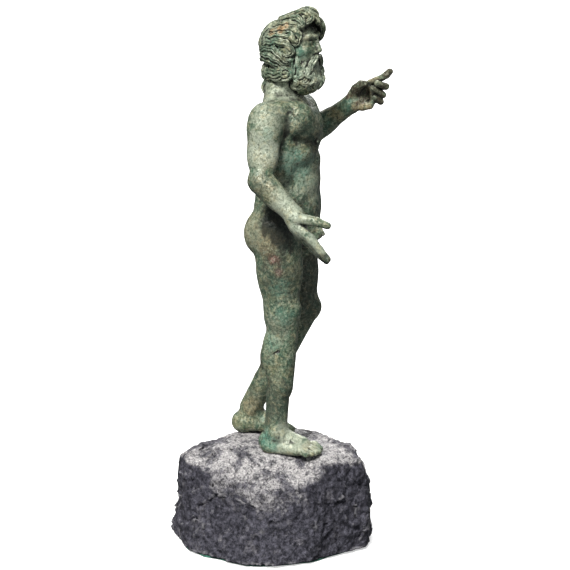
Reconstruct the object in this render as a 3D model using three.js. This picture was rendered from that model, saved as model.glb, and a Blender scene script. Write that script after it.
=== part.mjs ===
// Bronze statuette of a bearded god on a rough stone block.
// Millimetres, +Z up. The figure faces -Y and its right side is -X.
// The origin is the middle of the underside, on the felt.

import * as THREE from "three";
import { mergeVertices } from "three/addons/utils/BufferGeometryUtils.js";

const vec = (x, y, z) => new THREE.Vector3(x, y, z);
const BACK = vec(0, 1, 0);
const UP = vec(0, 0, 1);

// Driving dimensions
const RIGHT_SOLE = 51.5; // height of the sole that bears the weight
const LEFT_SOLE = 52.3; // the left foot is set back, where the stone is a little higher
const FIGURE_CELL = 1.1; // step of the grid that the figure is shaped on
const FIGURE_TRIANGLES = 7600;
const STONE_CELL = 2.6;
const STONE_TRIANGLES = 1500;
const FELT_THICKNESS = 0.9;
const FELT_INSET = 2.4; // from the stone's broken edge
const GAP = 0.3; // between pieces that touch
const STONE_BOTTOM = FELT_THICKNESS + GAP;

// Joints of the pose
const SKULL = vec(0.5, -10, 260);
const NECK = vec(0, -6, 231);
const CHEST = vec(0, -8, 211);
const PELVIS = vec(0, -6.5, 168);
const CHEST_TURN = 11; // to the figure's left
const PELVIS_TURN = 5;
const RIGHT_ARM = {
  shoulder: vec(-23, -4, 225.5),
  elbow: vec(-34.5, -4.5, 196.5),
  wrist: vec(-39.5, -22.8, 181.6),
};
const LEFT_ARM = {
  shoulder: vec(23, -4, 225),
  elbow: vec(47, -8.5, 205.8),
  wrist: vec(43.5, -31, 222.8),
};
const RIGHT_LEG = { hip: vec(-10.5, -6, 169), knee: vec(-12, -9, 125.5), ankle: vec(-11.5, -6.2, 61.5) };
const LEFT_LEG = { hip: vec(10.5, -6.5, 167), knee: vec(15, -12.4, 122), ankle: vec(17, 16, 63) };

// The smaller of two distances, with the crease between them filled over a width of blend.
function smoothMin(a, b, blend) {
  const h = Math.max(blend - Math.abs(a - b), 0);
  return Math.min(a, b) - (h * h) / (4 * blend);
}

// A solid that tapers from one ball to another, as a limb does.
function limb(a, b, ra, rb) {
  const ab = b.clone().sub(a);
  const lengthSquared = ab.lengthSq() || 1;
  const box = new THREE.Box3().setFromPoints([a, b]).expandByScalar(Math.max(ra, rb));
  const distance = (x, y, z) => {
    const px = x - a.x;
    const py = y - a.y;
    const pz = z - a.z;
    const t = Math.min(1, Math.max(0, (px * ab.x + py * ab.y + pz * ab.z) / lengthSquared));
    const dx = px - ab.x * t;
    const dy = py - ab.y * t;
    const dz = pz - ab.z * t;
    return Math.sqrt(dx * dx + dy * dy + dz * dz) - ra + (ra - rb) * t;
  };
  return { box, distance };
}

// An ellipsoid with half-sizes along three given directions.
function egg(centre, sizes, axes) {
  const half = vec(0, 0, 0);
  for (const i of [0, 1, 2]) {
    half.setComponent(i, Math.hypot(...axes.map((axis, j) => axis.getComponent(i) * sizes[j])));
  }
  const box = new THREE.Box3(centre.clone().sub(half), centre.clone().add(half));
  const [u, v, w] = axes;
  const [a, b, c] = sizes;
  const distance = (x, y, z) => {
    const px = x - centre.x;
    const py = y - centre.y;
    const pz = z - centre.z;
    const pu = (px * u.x + py * u.y + pz * u.z) / a;
    const pv = (px * v.x + py * v.y + pz * v.z) / b;
    const pw = (px * w.x + py * w.y + pz * w.z) / c;
    const k0 = Math.sqrt(pu * pu + pv * pv + pw * pw);
    const k1 = Math.sqrt((pu / a) ** 2 + (pv / b) ** 2 + (pw / c) ** 2);
    return k1 < 1e-9 ? -Math.min(a, b, c) : (k0 * (k0 - 1)) / k1;
  };
  return { box, distance };
}

// A flat-faced block with half-sizes along three given directions.
function slab(centre, sizes, axes) {
  const half = vec(0, 0, 0);
  for (const i of [0, 1, 2]) {
    half.setComponent(i, axes.reduce((sum, axis, j) => sum + Math.abs(axis.getComponent(i)) * sizes[j], 0));
  }
  const box = new THREE.Box3(centre.clone().sub(half), centre.clone().add(half));
  const distance = (x, y, z) => {
    const from = vec(x - centre.x, y - centre.y, z - centre.z);
    const beyond = axes.map((axis, i) => Math.abs(from.dot(axis)) - sizes[i]);
    const outside = Math.hypot(...beyond.map((d) => Math.max(d, 0)));
    return outside + Math.min(Math.max(...beyond), 0);
  };
  return { box, distance };
}

// A block of clay: distances to the surface on a grid, negative inside.
// Parts are added to it and carved out of it.
class Clay {
  constructor(low, high, cell) {
    this.low = low;
    this.cell = cell;
    this.count = high.clone().sub(low).divideScalar(cell).ceil().addScalar(1).toArray();
    this.field = new Float32Array(this.count[0] * this.count[1] * this.count[2]).fill(1e3);
  }

  change(part, reach, rule) {
    const { low, cell, field } = this;
    const [nx, ny, nz] = this.count;
    const first = part.box.min.clone().subScalar(reach).sub(low).divideScalar(cell).ceil();
    const last = part.box.max.clone().addScalar(reach).sub(low).divideScalar(cell).floor();
    for (let k = Math.max(first.z, 0); k <= Math.min(last.z, nz - 1); k++) {
      for (let j = Math.max(first.y, 0); j <= Math.min(last.y, ny - 1); j++) {
        for (let i = Math.max(first.x, 0); i <= Math.min(last.x, nx - 1); i++) {
          const at = i + nx * (j + ny * k);
          const d = part.distance(low.x + i * cell, low.y + j * cell, low.z + k * cell);
          field[at] = rule(field[at], d);
        }
      }
    }
  }

  add(part, blend = 1) {
    this.change(part, blend + 2 * this.cell, (old, d) => smoothMin(old, d, blend));
  }

  carve(part, blend = 1) {
    this.change(part, blend + 2 * this.cell, (old, d) => -smoothMin(-old, d, blend));
  }

  // Gives the whole block the shape that a distance describes.
  shape(distance) {
    const everywhere = new THREE.Box3(this.low, this.low.clone().addScalar(1e4));
    this.change({ box: everywhere, distance }, 0, (old, d) => d);
  }

  // Where the surface first comes, seen from the front.
  front(x, z) {
    const { low, cell, field } = this;
    const [nx, ny] = this.count;
    const column = Math.round((x - low.x) / cell) + nx * ny * Math.round((z - low.z) / cell);
    let j = 1;
    while (j < ny && field[column + nx * j] > 0) j++;
    const before = field[column + nx * (j - 1)];
    const behind = field[column + nx * j];
    return vec(x, low.y + cell * (j - 1 + before / (before - behind)), z);
  }
}

// Fills the few grid points where the surface would touch itself along an edge or at a corner.
function settle(clay) {
  const { field } = clay;
  const [nx, ny, nz] = clay.count;
  const [sx, sy, sz] = [1, nx, nx * ny];
  const loops = [[0, sx, sx + sy, sy], [0, sy, sy + sz, sz], [0, sz, sz + sx, sx]];
  const corners = [0, sx, sy, sx + sy, sz, sx + sz, sy + sz, sx + sy + sz];
  const fill = (at) => {
    field[at] = -0.2 * clay.cell;
  };
  for (let changed = true; changed; ) {
    changed = false;
    for (let at = 0; at < field.length - sx - sy - sz; at++) {
      for (const [a, b, c, d] of loops) {
        const inside = field[at + a] < 0;
        if (field[at + c] < 0 !== inside) continue;
        if (field[at + b] < 0 === inside || field[at + d] < 0 === inside) continue;
        fill(inside ? at + b : at + a);
        changed = true;
      }
      for (let c = 0; c < 4; c++) {
        const inside = field[at + corners[c]] < 0;
        if (field[at + corners[7 - c]] < 0 !== inside) continue;
        if (corners.filter((corner) => field[at + corner] < 0 === inside).length !== 2) continue;
        fill(inside ? at + corners[(c + 1) % 4] : at + corners[c]);
        changed = true;
      }
    }
  }
}

// The surface where a block of clay's distance is zero, as a closed mesh.
// It has one vertex in each cell that the surface crosses.
function skin(clay) {
  settle(clay);
  const { field, cell, low } = clay;
  const [nx, ny, nz] = clay.count;
  const step = [1, nx, nx * ny];
  const corners = [];
  for (let c = 0; c < 8; c++) corners.push((c & 1) * step[0] + ((c >> 1) & 1) * step[1] + (c >> 2) * step[2]);
  const edges = [];
  for (const axis of [1, 2, 4]) for (let c = 0; c < 8; c++) if (!(c & axis)) edges.push([c, c | axis]);
  const vertexOf = new Int32Array(field.length).fill(-1);
  const points = [];
  for (let k = 0; k < nz - 1; k++) {
    for (let j = 0; j < ny - 1; j++) {
      for (let i = 0; i < nx - 1; i++) {
        const at = i + nx * (j + ny * k);
        const value = corners.map((c) => field[at + c]);
        const inside = value.filter((d) => d < 0).length;
        if (inside === 0 || inside === 8) continue;
        const sum = [0, 0, 0];
        let crossed = 0;
        for (const [a, b] of edges) {
          if (value[a] < 0 === value[b] < 0) continue;
          const t = value[a] / (value[a] - value[b]);
          crossed++;
          for (const axis of [0, 1, 2]) {
            const pa = (a >> axis) & 1;
            sum[axis] += pa + t * (((b >> axis) & 1) - pa);
          }
        }
        vertexOf[at] = points.length / 3;
        points.push(
          low.x + (i + sum[0] / crossed) * cell,
          low.y + (j + sum[1] / crossed) * cell,
          low.z + (k + sum[2] / crossed) * cell,
        );
      }
    }
  }
  const faces = [];
  for (let at = step[2]; at < field.length - step[2]; at++) {
    for (const axis of [0, 1, 2]) {
      const here = field[at] < 0;
      if (here === field[at + step[axis]] < 0) continue;
      const u = step[(axis + 1) % 3];
      const v = step[(axis + 2) % 3];
      const [a, b, c, d] = [at - u - v, at - v, at, at - u].map((cellAt) => vertexOf[cellAt]);
      if (here) faces.push(a, b, c, a, c, d);
      else faces.push(a, c, b, a, d, c);
    }
  }
  return { points, faces };
}

// A place with its own directions: across to the figure's left, to the back, and up. Turns are in degrees.
class Frame {
  constructor(origin, turn = [0, 0, 0]) {
    this.origin = origin;
    this.axes = tilted([vec(1, 0, 0), BACK.clone(), UP.clone()], turn);
  }

  at(x, y, z) {
    const [u, v, w] = this.axes;
    return this.origin.clone().addScaledVector(u, x).addScaledVector(v, y).addScaledVector(w, z);
  }

  moved(x, y, z) {
    const frame = new Frame(this.at(x, y, z));
    frame.axes = this.axes;
    return frame;
  }

  egg(place, sizes, turn = [0, 0, 0]) {
    return egg(this.at(...place), sizes, tilted(this.axes, turn));
  }

  limb(from, to, ra, rb) {
    return limb(this.at(...from), this.at(...to), ra, rb);
  }

  slab(place, sizes) {
    return slab(this.at(...place), sizes, this.axes);
  }
}

// Three directions, turned about their own first, second and third in that order, in degrees.
function tilted(axes, turn) {
  const result = axes.map((axis) => axis.clone());
  turn.forEach((degrees, i) => {
    const about = result[i].clone();
    for (const axis of result) axis.applyAxisAngle(about, THREE.MathUtils.degToRad(degrees));
  });
  return result;
}

// A bone and its directions: outward from the middle of the body, to the back,
// and along it as a share of its length.
class Bone {
  constructor(from, to, side, back = BACK) {
    this.from = from;
    this.length = from.distanceTo(to);
    this.along = to.clone().sub(from).normalize();
    this.back = back.clone().addScaledVector(this.along, -back.dot(this.along)).normalize();
    this.out = this.along.clone().cross(this.back);
    if (this.out.x * side < 0) this.out.negate();
  }

  at(out, back, share) {
    const place = this.from.clone().addScaledVector(this.along, share * this.length);
    return place.addScaledVector(this.out, out).addScaledVector(this.back, back);
  }

  egg(place, sizes) {
    return egg(this.at(...place), sizes, [this.out, this.back, this.along]);
  }

  limb(from, to, ra, rb) {
    return limb(this.at(...from), this.at(...to), ra, rb);
  }
}

// Ribcage, belly and hips, with the muscles that show.
function torso(clay) {
  const chest = new Frame(CHEST, [0, 2, CHEST_TURN]);
  const pelvis = new Frame(PELVIS, [0, 3, PELVIS_TURN]);
  clay.add(chest.egg([0, 0.6, -1], [19.3, 14.9, 23]), 1);
  clay.add(chest.egg([0, 1, 11], [22, 10.5, 9]), 6);
  clay.add(pelvis.egg([0, 0.5, 4], [18.5, 14, 13]), 4);
  clay.add(limb(chest.at(0, -1.5, -8), pelvis.at(0, -2.5, 12), 15, 14.8), 6);
  clay.add(pelvis.egg([0, -7.5, 9], [13, 11, 12]), 5);
  clay.add(pelvis.egg([0, -11, -3], [7.5, 8, 9]), 5);
  clay.add(chest.egg([0, -5.4, -18], [13.5, 10.4, 15]), 5);
  for (const s of [-1, 1]) {
    clay.add(chest.limb([s * 8, 2, 18.5], [s * 20, 2, 17.5], 4.5, 4.8), 6);
    clay.add(chest.egg([s * 17, 3.5, -3], [6, 9, 18], [0, s * 6, 0]), 4);
    clay.add(chest.egg([s * 11, 9, 7], [9.5, 6, 11], [0, 0, s * -12]), 4);
    clay.add(limb(chest.at(s * 4.8, 10, -8), pelvis.at(s * 4.8, 8, 8), 4.5, 4.5), 4);
    clay.add(pelvis.egg([s * 11.6, -4.5, 18], [6.2, 9.3, 9], [0, s * -12, 0]), 4);
    clay.add(pelvis.egg([s * 9.3, 8, -3], [10, 10.2, 12], [8, 0, 0]), 2.5);
    clay.add(pelvis.egg([s * 15, 0, -2], [6.5, 9.5, 13]), 5);
    for (const [z, size] of [[-10, 5], [-20, 5.4], [-30, 5.4]]) {
      clay.add(chest.egg([s * 5, -11.8, z], [5.6, 4, size]), 4);
    }
    clay.carve(limb(pelvis.at(s * 15, -14, 14), pelvis.at(s * 4.5, -20.8, -3), 0.8, 0.8), 2.5);
    clay.add(chest.egg([s * 9.4, -9, 8], [12, 8.8, 9.5], [0, s * -20, s * 18]), 1.6);
    clay.add(chest.egg([s * 6.4, -9.4, 1], [7.6, 8.4, 6.5], [0, 0, s * 10]), 2);
    clay.add(chest.egg([s * 17.4, -4.6, 12], [5.6, 7, 7], [0, s * -30, s * 20]), 3);
    clay.add(chest.limb([s * 3, -9, 18], [s * 19, -2.5, 19.5], 1.3, 1.5), 4);
  }
  clay.carve(limb(chest.at(0, 16.8, 12), pelvis.at(0, 13.5, 8), 1.2, 1.2), 4);
  clay.carve(pelvis.limb([0, 19.5, 5], [0, 17, -14], 1, 1.6), 2.5);
  groove(clay, [[2.6, 228], [2.6, 220], [2.6, 211]], 0.7);
  for (const s of [-1, 1]) {
    clay.add(egg(clay.front(2 + s * 10.4, CHEST.z + 1.8), [1.2, 0.7, 1.2], chest.axes), 0.6);
    const under = [[1.5, 205], [6, 204.8], [11, 208], [15.5, 212.6]].map(([x, z]) => [2 + s * x, z]);
    groove(clay, under, 0.7);
  }
  clay.carve(egg(clay.front(1.4, 188.6), [0.9, 1.3, 1.1], chest.axes), 0.8);
}

// A shallow line pressed into the front of the body through some places across and up.
function groove(clay, places, depth) {
  const line = places.map(([x, z]) => clay.front(x, z).add(vec(0, -1.2 + depth, 0)));
  for (let i = 1; i < line.length; i++) clay.carve(limb(line[i - 1], line[i], 1.1, 1.1), 1.6);
}

// Neck, with the two muscles that run from behind the ears to the pit of the throat.
function neck(clay) {
  clay.add(limb(NECK, SKULL.clone().add(vec(0, 2.5, -10)), 9.4, 8.4), 4);
  for (const s of [-1, 1]) {
    clay.add(limb(vec(s * 7.5, -6, 247), vec(s * 2.6, -16, 230.5), 2, 1.5), 2);
    clay.add(limb(vec(s * 5, -3.5, 238), vec(s * 14, -3, 229.5), 3, 3.6), 4);
  }
}

// Shoulder, upper arm and forearm.
function arm(clay, side, { shoulder, elbow, wrist }) {
  const upper = new Bone(shoulder, elbow, side);
  clay.add(upper.egg([1.2, 0, 0.14], [8.6, 9, 12.5]), 4);
  clay.add(limb(shoulder, elbow, 7.2, 5.4), 3);
  clay.add(upper.egg([0.3, -2.8, 0.55], [5.2, 5.2, 11]), 2);
  clay.add(upper.egg([0.5, 3, 0.5], [5.6, 5.2, 11.5]), 2);
  clay.add(upper.limb([0, 3, 0.96], [0, 1, 1], 3, 4.2), 2);
  const fore = new Bone(elbow, wrist, side);
  clay.add(limb(elbow, wrist, 6, 4.7), 3);
  clay.add(fore.egg([1.2, -1.6, 0.28], [4.8, 4.8, 9.5]), 2);
  clay.add(fore.egg([-1.2, 1.6, 0.34], [4.8, 4.6, 10]), 2);
}

// Thigh, knee, calf and ankle.
function leg(clay, side, { hip, knee, ankle }) {
  const thigh = new Bone(hip, knee, side);
  clay.add(limb(hip, knee, 12, 7.8), 4);
  clay.add(thigh.egg([0, -3.5, 0.45], [8, 8.5, 20]), 3);
  clay.add(thigh.egg([4.5, 0, 0.45], [6.5, 8.5, 19]), 3);
  clay.add(thigh.egg([-4, -2.5, 0.78], [4.8, 5.5, 9]), 2.5);
  clay.add(thigh.egg([0, 4.5, 0.5], [8, 7, 18]), 3);
  clay.add(thigh.egg([-4.5, 1.5, 0.22], [6.5, 8.5, 14]), 3);
  const shank = new Bone(knee, ankle, side);
  clay.add(shank.egg([0, -5.8, -0.02], [4.2, 3.4, 5]), 1.5);
  clay.add(shank.limb([0, -5, 0.1], [0, -2.8, 0.6], 2.6, 2.8), 2.5);
  clay.add(limb(knee, ankle, 7.2, 5.2), 7);
  clay.add(shank.egg([-3, 3.8, 0.36], [5, 5.6, 14.5]), 2);
  clay.add(shank.egg([3, 3.4, 0.33], [4.8, 5.4, 13]), 2);
  clay.add(shank.egg([1.5, -2.6, 0.36], [4.5, 4, 16]), 2.5);
  clay.add(shank.limb([0, 3, 0.7], [0, 4, 0.98], 2.6, 2.2), 2);
  clay.add(shank.egg([4.6, 0.2, 0.98], [1.7, 2.4, 2.8]), 1.5);
  clay.add(shank.egg([-4.6, -0.6, 0.95], [1.8, 2.6, 2.8]), 1.5);
}

// Foot with five toes, on a frame whose origin is on the sole, under the ankle.
function foot(clay, side, frame) {
  clay.add(frame.egg([0, 4.4, 5.2], [5, 5.6, 5.8]), 2);
  clay.add(frame.limb([0, -1, 8.5], [-side * 1.4, -12.5, 4.8], 5, 3.8), 3);
  clay.add(frame.limb([side * 2.2, 3, 3], [side * 3.6, -11.5, 2.8], 3.4, 2.9), 3);
  clay.add(frame.limb([-side * 2, 2, 5], [-side * 3.6, -12.5, 3.4], 3.4, 3.3), 3);
  clay.add(frame.egg([0, -13.5, 3.2], [6.2, 4.4, 3.1]), 2);
  const toes = [
    { x: -4.3, reach: 23.2, radius: 2.4 },
    { x: -1.3, reach: 23.4, radius: 1.75 },
    { x: 1.2, reach: 22.5, radius: 1.65 },
    { x: 3.5, reach: 21, radius: 1.6 },
    { x: 5.6, reach: 19, radius: 1.55 },
  ];
  for (const { x, reach, radius } of toes) {
    const knuckle = [side * x * 1.02, -reach + 4.8, radius + 1.4];
    clay.add(frame.limb([side * x * 0.9, -13.5, 3.4], knuckle, radius, radius), 0.6);
    clay.add(frame.limb(knuckle, [side * x, -reach + radius, radius * 0.95], radius, radius * 0.94), 0.4);
  }
  clay.carve(frame.slab([0, -6, -10], [16, 24, 10]), 0.4);
}

// A chain of limbs along a smooth curve through some points, fuller in the middle than at its ends.
function strand(clay, places, radius, blend, ends = 0.6) {
  const curve = new THREE.CatmullRomCurve3(places, false, "centripetal");
  const steps = 3 * (places.length - 1);
  const width = (t) => radius * (ends + (1 - ends) * Math.sin(Math.PI * t));
  for (let i = 0; i < steps; i++) {
    const t = i / steps;
    const next = (i + 1) / steps;
    clay.add(limb(curve.getPoint(t), curve.getPoint(next), width(t), width(next)), blend);
  }
}

// A flat spiral curl of hair that lies on a surface facing a given way.
function curl(clay, centre, facing, radius, sense, turns = 1.25) {
  const n = facing.clone().normalize();
  const u = UP.clone().cross(n).normalize();
  const v = n.clone().cross(u);
  const places = [];
  const count = Math.round(turns * 6);
  for (let i = 0; i <= count; i++) {
    const angle = sense * (i / count) * turns * 2 * Math.PI;
    const r = radius * (0.8 - (0.66 * i) / count);
    const place = centre.clone().addScaledVector(u, r * Math.sin(angle));
    place.addScaledVector(v, r * Math.cos(angle)).addScaledVector(n, (0.4 * radius * i) / count);
    places.push(place);
  }
  strand(clay, places, radius * 0.27, 0.3, 0.9);
}

// The face and skull under the hair: calm, even features, with brow, nose and chin each a third
// of the way down.
function face(clay, head) {
  clay.add(head.egg([0, -0.5, 1], [10.4, 13.6, 12.2]), 2);
  clay.add(head.egg([0, -6.8, -2.5], [9, 8.6, 10.8]), 3);
  clay.add(head.limb([0, -14.6, 4], [0, -16.2, -2.4], 1.3, 1.6), 1.4);
  clay.add(head.egg([0, -14.6, -8], [3, 1.4, 1.5]), 0.8);
  for (const s of [-1, 1]) {
    clay.carve(head.egg([s * 4, -15.6, 1.7], [2.7, 2.2, 1.7]), 1);
    clay.add(head.egg([s * 3.9, -12.9, 1.5], [2.1, 1.8, 1.4]), 0.4);
    clay.add(head.limb([s * 1.6, -14.6, 4.2], [s * 6.8, -12.2, 3.8], 1, 1), 1.2);
    clay.add(head.egg([s * 5.4, -11.2, -2.2], [2.8, 2.6, 2.6]), 1.5);
    clay.add(head.egg([s * 1.35, -15.1, -3.2], [1.1, 1.2, 1]), 0.4);
  }
}

// Beard: a full mass under the jaw, a moustache, and rows of curls.
function beard(clay, head) {
  clay.add(head.egg([0, -9.4, -14.5], [7.4, 5.6, 8.8]), 2);
  for (const s of [-1, 1]) {
    const trace = (places) => places.map(([x, y, z]) => head.at(s * x, y, z));
    clay.add(head.limb([s * 8.6, -5.2, -5], [s * 6.2, -8.6, -14], 2.2, 3.6), 2);
    const moustache = [[0.7, -14.8, -5.6], [2.8, -14.6, -6.8], [5, -13.2, -9.8], [6, -12, -12.8]];
    strand(clay, trace(moustache), 1.3, 0.6);
    const curls = [
      [1.9, -14.3, -11.6, 2.2], [5, -12.7, -14.8, 2.4], [7.7, -9.2, -11.2, 2.4], [8.2, -6, -7, 2],
      [1.9, -14.4, -16.2, 2.3], [7.4, -9.4, -16, 2.3], [4.6, -12.4, -19.4, 2.3], [1.6, -14.2, -20.8, 2.2],
      [6.2, -8.6, -20.6, 2.1], [2, -11.2, -23.2, 2],
    ];
    curls.forEach(([x, y, z, r], i) => {
      clay.add(head.egg([s * x * (i % 2 ? 1 : 1.06), y, z], [r * 1.1, r * 0.85, r]), 1.1);
    });
  }
}

// A place on the hair's rounded mass, with the azimuth from the face, round to either side, in degrees.
function scalp(head, azimuth, height, lift) {
  const a = THREE.MathUtils.degToRad(azimuth);
  const e = THREE.MathUtils.degToRad(height);
  const across = (11.4 + lift) * Math.sin(a) * Math.cos(e);
  const back = 0.6 - (12.4 + lift) * Math.cos(a) * Math.cos(e);
  return head.at(across, back, (11.9 + lift) * Math.sin(e) - 1.6);
}

// Locks of one side, from the one that rises over the forehead down to the ear.
const TEMPLE_LOCKS = [
  {
    radius: 2.3,
    places: [[0.6, -12.6, 10.4], [1.4, -13.4, 13.4], [3.4, -12.6, 15], [6.4, -12.6, 13], [8.7, -12.4, 8]],
  },
  {
    radius: 2.4,
    places: [[1.4, -0.6, 10.6], [1.6, -6, 15], [4.6, -8.4, 15.8], [8.6, -8.8, 12.6], [10.9, -10.6, 6.4]],
  },
  {
    radius: 2.5,
    places: [[1.6, -2, 11.6], [5.4, -4, 12.4], [9, -5, 10.4], [11.6, -6.6, 6.6], [11.6, -9.8, 1.2]],
  },
  { radius: 2.4, places: [[9, 2, 9], [11.6, -0.4, 6], [13, -3.4, 2], [13, -6.4, -1.4], [11.4, -8, -4]] },
  { radius: 2.3, places: [[12, 5, 1.6], [12.8, 1.6, -1.6], [12.8, -2, -4.8], [11.4, -5.4, -7.4]] },
];

// Hair: wavy locks from the crown, two that rise over the forehead, big curls by the temples
// and a roll at the nape.
function hair(clay, head) {
  clay.add(head.egg([0, 1, -1.4], [11.6, 12.8, 12.4]), 1.5);
  for (let azimuth = 75; azimuth <= 285; azimuth += 19) {
    const heights = [84, 64, 45, 27, 9, -9, -27, -42];
    const wavy = heights.map((height, i) => scalp(head, azimuth + (i % 2 ? 5 : -5), height, 0.6));
    strand(clay, wavy, 2.5, 0.7, 0.8);
  }
  for (const s of [-1, 1]) {
    const trace = (places) => places.map(([x, y, z]) => head.at(s * x, y, z));
    for (const { radius, places } of TEMPLE_LOCKS) strand(clay, trace(places), radius, 0.6);
    curl(clay, head.at(s * 11.2, -1.2, -13.4), head.at(s, -0.2, 0).sub(head.origin), 4, s, 1.4);
    strand(clay, trace([[10, -0.4, -14.6], [8.6, 4, -14.6], [5, 7, -14.4], [0, 8, -14.4]]), 3.6, 1, 1);
  }
  for (let azimuth = 110; azimuth <= 250; azimuth += 17.5) {
    const out = scalp(head, azimuth, 0, 0).sub(head.at(0, 1, -1.6)).normalize();
    const side = azimuth < 180 ? 1 : -1;
    const root = scalp(head, azimuth, -42, 0.4);
    const round = out.clone().cross(UP).multiplyScalar(side);
    const drops = [[0, 0, 0], [0.6, 1, -3.4], [-0.4, 1.2, -6.6], [-1.6, 0, -8.8]];
    const hanging = drops.map(([across, lift, up]) => {
      const place = root.clone().addScaledVector(out, lift).addScaledVector(round, across);
      return place.addScaledVector(UP, up);
    });
    strand(clay, hanging, 2.1, 0.5, 0.8);
  }
  for (const x of [-5, -1.8, 1.8, 5]) {
    const tail = [[x, 8.2, -17], [x * 1.1, 9.8, -20.5], [x * 1.3, 11.4, -24]];
    strand(clay, tail.map((p) => head.at(...p)), 1.9, 0.8, 0.5);
  }
}

// A hand from the wrist: a palm, and chains of joints with their radii. The first chain is the thumb.
function hand(clay, wrist, { centre, sizes, along, thumbward, chains }) {
  const a = along.clone().normalize();
  const t = thumbward.clone().addScaledVector(a, -thumbward.dot(a)).normalize();
  clay.add(egg(centre, sizes, [t, a.clone().cross(t), a]), 2);
  clay.add(limb(wrist, wrist.clone().addScaledVector(a, 5), 4.1, 3), 2.5);
  for (const joints of chains) {
    for (let i = 1; i < joints.length; i++) {
      const [from, to] = [joints[i - 1], joints[i]];
      clay.add(limb(vec(...from.slice(0, 3)), vec(...to.slice(0, 3)), from[3], to[3]), i === 1 ? 1.2 : 0.4);
    }
  }
}

const RIGHT_HAND = {
  centre: vec(-41, -24.6, 175.6),
  sizes: [4.4, 3.4, 6.8],
  along: vec(0.02, -0.72, -0.69),
  thumbward: vec(-1, -0.2, 0.17),
  chains: [
    [[-41.6, -23, 181, 3.2], [-43, -28.8, 180.8, 2.6], [-43.8, -35.4, 180.2, 2.3], [-44, -40.6, 178.6, 1.9]],
    [
      [-43.4, -27, 175.8, 2.6], [-44.4, -32.6, 171.2, 2.4],
      [-44.8, -37, 166.4, 2.1], [-44.8, -40.8, 162, 1.9],
    ],
    [[-42, -25.8, 174.4, 2.3], [-42.8, -31.4, 169.8, 2], [-43, -35.9, 165.2, 1.9], [-43, -40, 160.6, 1.65]],
    [
      [-40.2, -24.8, 173.2, 2.2], [-40.8, -30.2, 168.6, 1.9],
      [-40.8, -34.6, 164.2, 1.8], [-40.6, -38, 161, 1.5],
    ],
    [
      [-38.6, -24, 172.6, 2], [-38.8, -28.6, 168.6, 1.7],
      [-38.6, -32.2, 165.2, 1.6], [-38.4, -35, 162.4, 1.3],
    ],
  ],
};
const LEFT_HAND = {
  centre: vec(44.2, -37.2, 227.6),
  sizes: [6.6, 2.3, 7],
  along: vec(0, -0.87, 0.49),
  thumbward: vec(0, 0.49, 0.87),
  chains: [
    [[42.4, -32, 227.6, 2.9], [40.4, -34.2, 231.2, 2.6], [38.6, -37.2, 234, 2.2], [37, -39.4, 234.6, 1.8]],
    [[43.4, -37.6, 231, 2.1], [42.6, -41, 234.2, 1.75], [42, -47.6, 237.4, 1.7], [41.8, -51.4, 240.6, 1.8]],
    [[44.4, -38.2, 230, 1.9], [44.6, -42.6, 232.6, 1.8], [41.4, -49.4, 232.9, 1.8], [37.4, -45.8, 235, 1.6]],
    [[44.4, -37.8, 227.4, 1.9], [44.6, -42, 230, 1.75], [41.4, -48, 228.6, 1.75], [37, -43.6, 232.4, 1.55]],
    [[44, -37.2, 225, 1.8], [44.2, -41, 226.8, 1.65], [41.4, -46.8, 224.9, 1.65], [37.8, -44.4, 227.6, 1.45]],
    [[43, -33, 222.6, 2.4], [42.4, -37, 222, 2.4], [42, -41, 222.6, 2], [41.6, -43, 225, 1.5]],
    [[42.4, -42.6, 226, 1.3], [42.2, -41.8, 229, 1.3], [42.2, -41.2, 231.6, 1.3], [42.4, -40.8, 233, 1.3]],
  ],
};

// The genitals, small and plain.
function groin(clay) {
  for (const s of [-1, 1]) {
    clay.add(egg(vec(s * 1.8, -24.6, 164), [2.1, 2.4, 3.1], [vec(1, 0, 0), BACK, UP]), 1);
  }
  clay.add(limb(vec(0, -24, 168.5), vec(0, -27.2, 164), 1.6, 1.25), 0.8);
}

// A repeatable rough value between -1 and 1 that changes smoothly from place to place.
function roughness(x, y, z) {
  const [ix, iy, iz] = [x, y, z].map(Math.floor);
  const ease = (t) => t * t * (3 - 2 * t);
  const [fx, fy, fz] = [ease(x - ix), ease(y - iy), ease(z - iz)];
  let sum = 0;
  for (let c = 0; c < 8; c++) {
    const [dx, dy, dz] = [c & 1, (c >> 1) & 1, c >> 2];
    let h = Math.imul(ix + dx, 374761393) ^ Math.imul(iy + dy, 668265263);
    h ^= Math.imul(iz + dz, 1274126177);
    h = Math.imul(h ^ (h >>> 13), 1103515245);
    h = Math.imul(h ^ (h >>> 16), 2246822519);
    const value = ((h ^ (h >>> 15)) >>> 0) / 2147483648 - 1;
    sum += value * (dx ? fx : 1 - fx) * (dy ? fy : 1 - fy) * (dz ? fz : 1 - fz);
  }
  return sum;
}

// Faces of the broken stone: azimuth and rise of the way each faces, and how far out and up it lies there.
// The walls come first, round from the figure's back, then the top and its slopes, then the broken shoulders.
const STONE_WALLS = [
  [197, 2, 50, 0], [213, 5, 47.5, 0], [232, 8, 46.5, 0], [252, 10, 44.6, 0], [280, 11, 45.6, 0],
  [303, 9, 44.2, 0], [326, 6, 43.5, 0], [8, 2, 50.6, 0], [38, 6, 50, 0], [68, 8, 46, 0],
  [95, 8, 44.5, 0], [125, 8, 46, 0], [160, 5, 48, 0],
];
const STONE_TOPS = [
  [0, 90, 0, 51.9], [285, 59, 18, 51.8], [240, 63, 24, 51.8], [332, 64, 32, 51.8], [105, 74, 28, 51.8],
];
const STONE_SHOULDERS = [[195, 32, 50.5, 37], [15, 24, 50.8, 33], [60, 48, 42, 42], [150, 55, 42, 42]];

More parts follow.
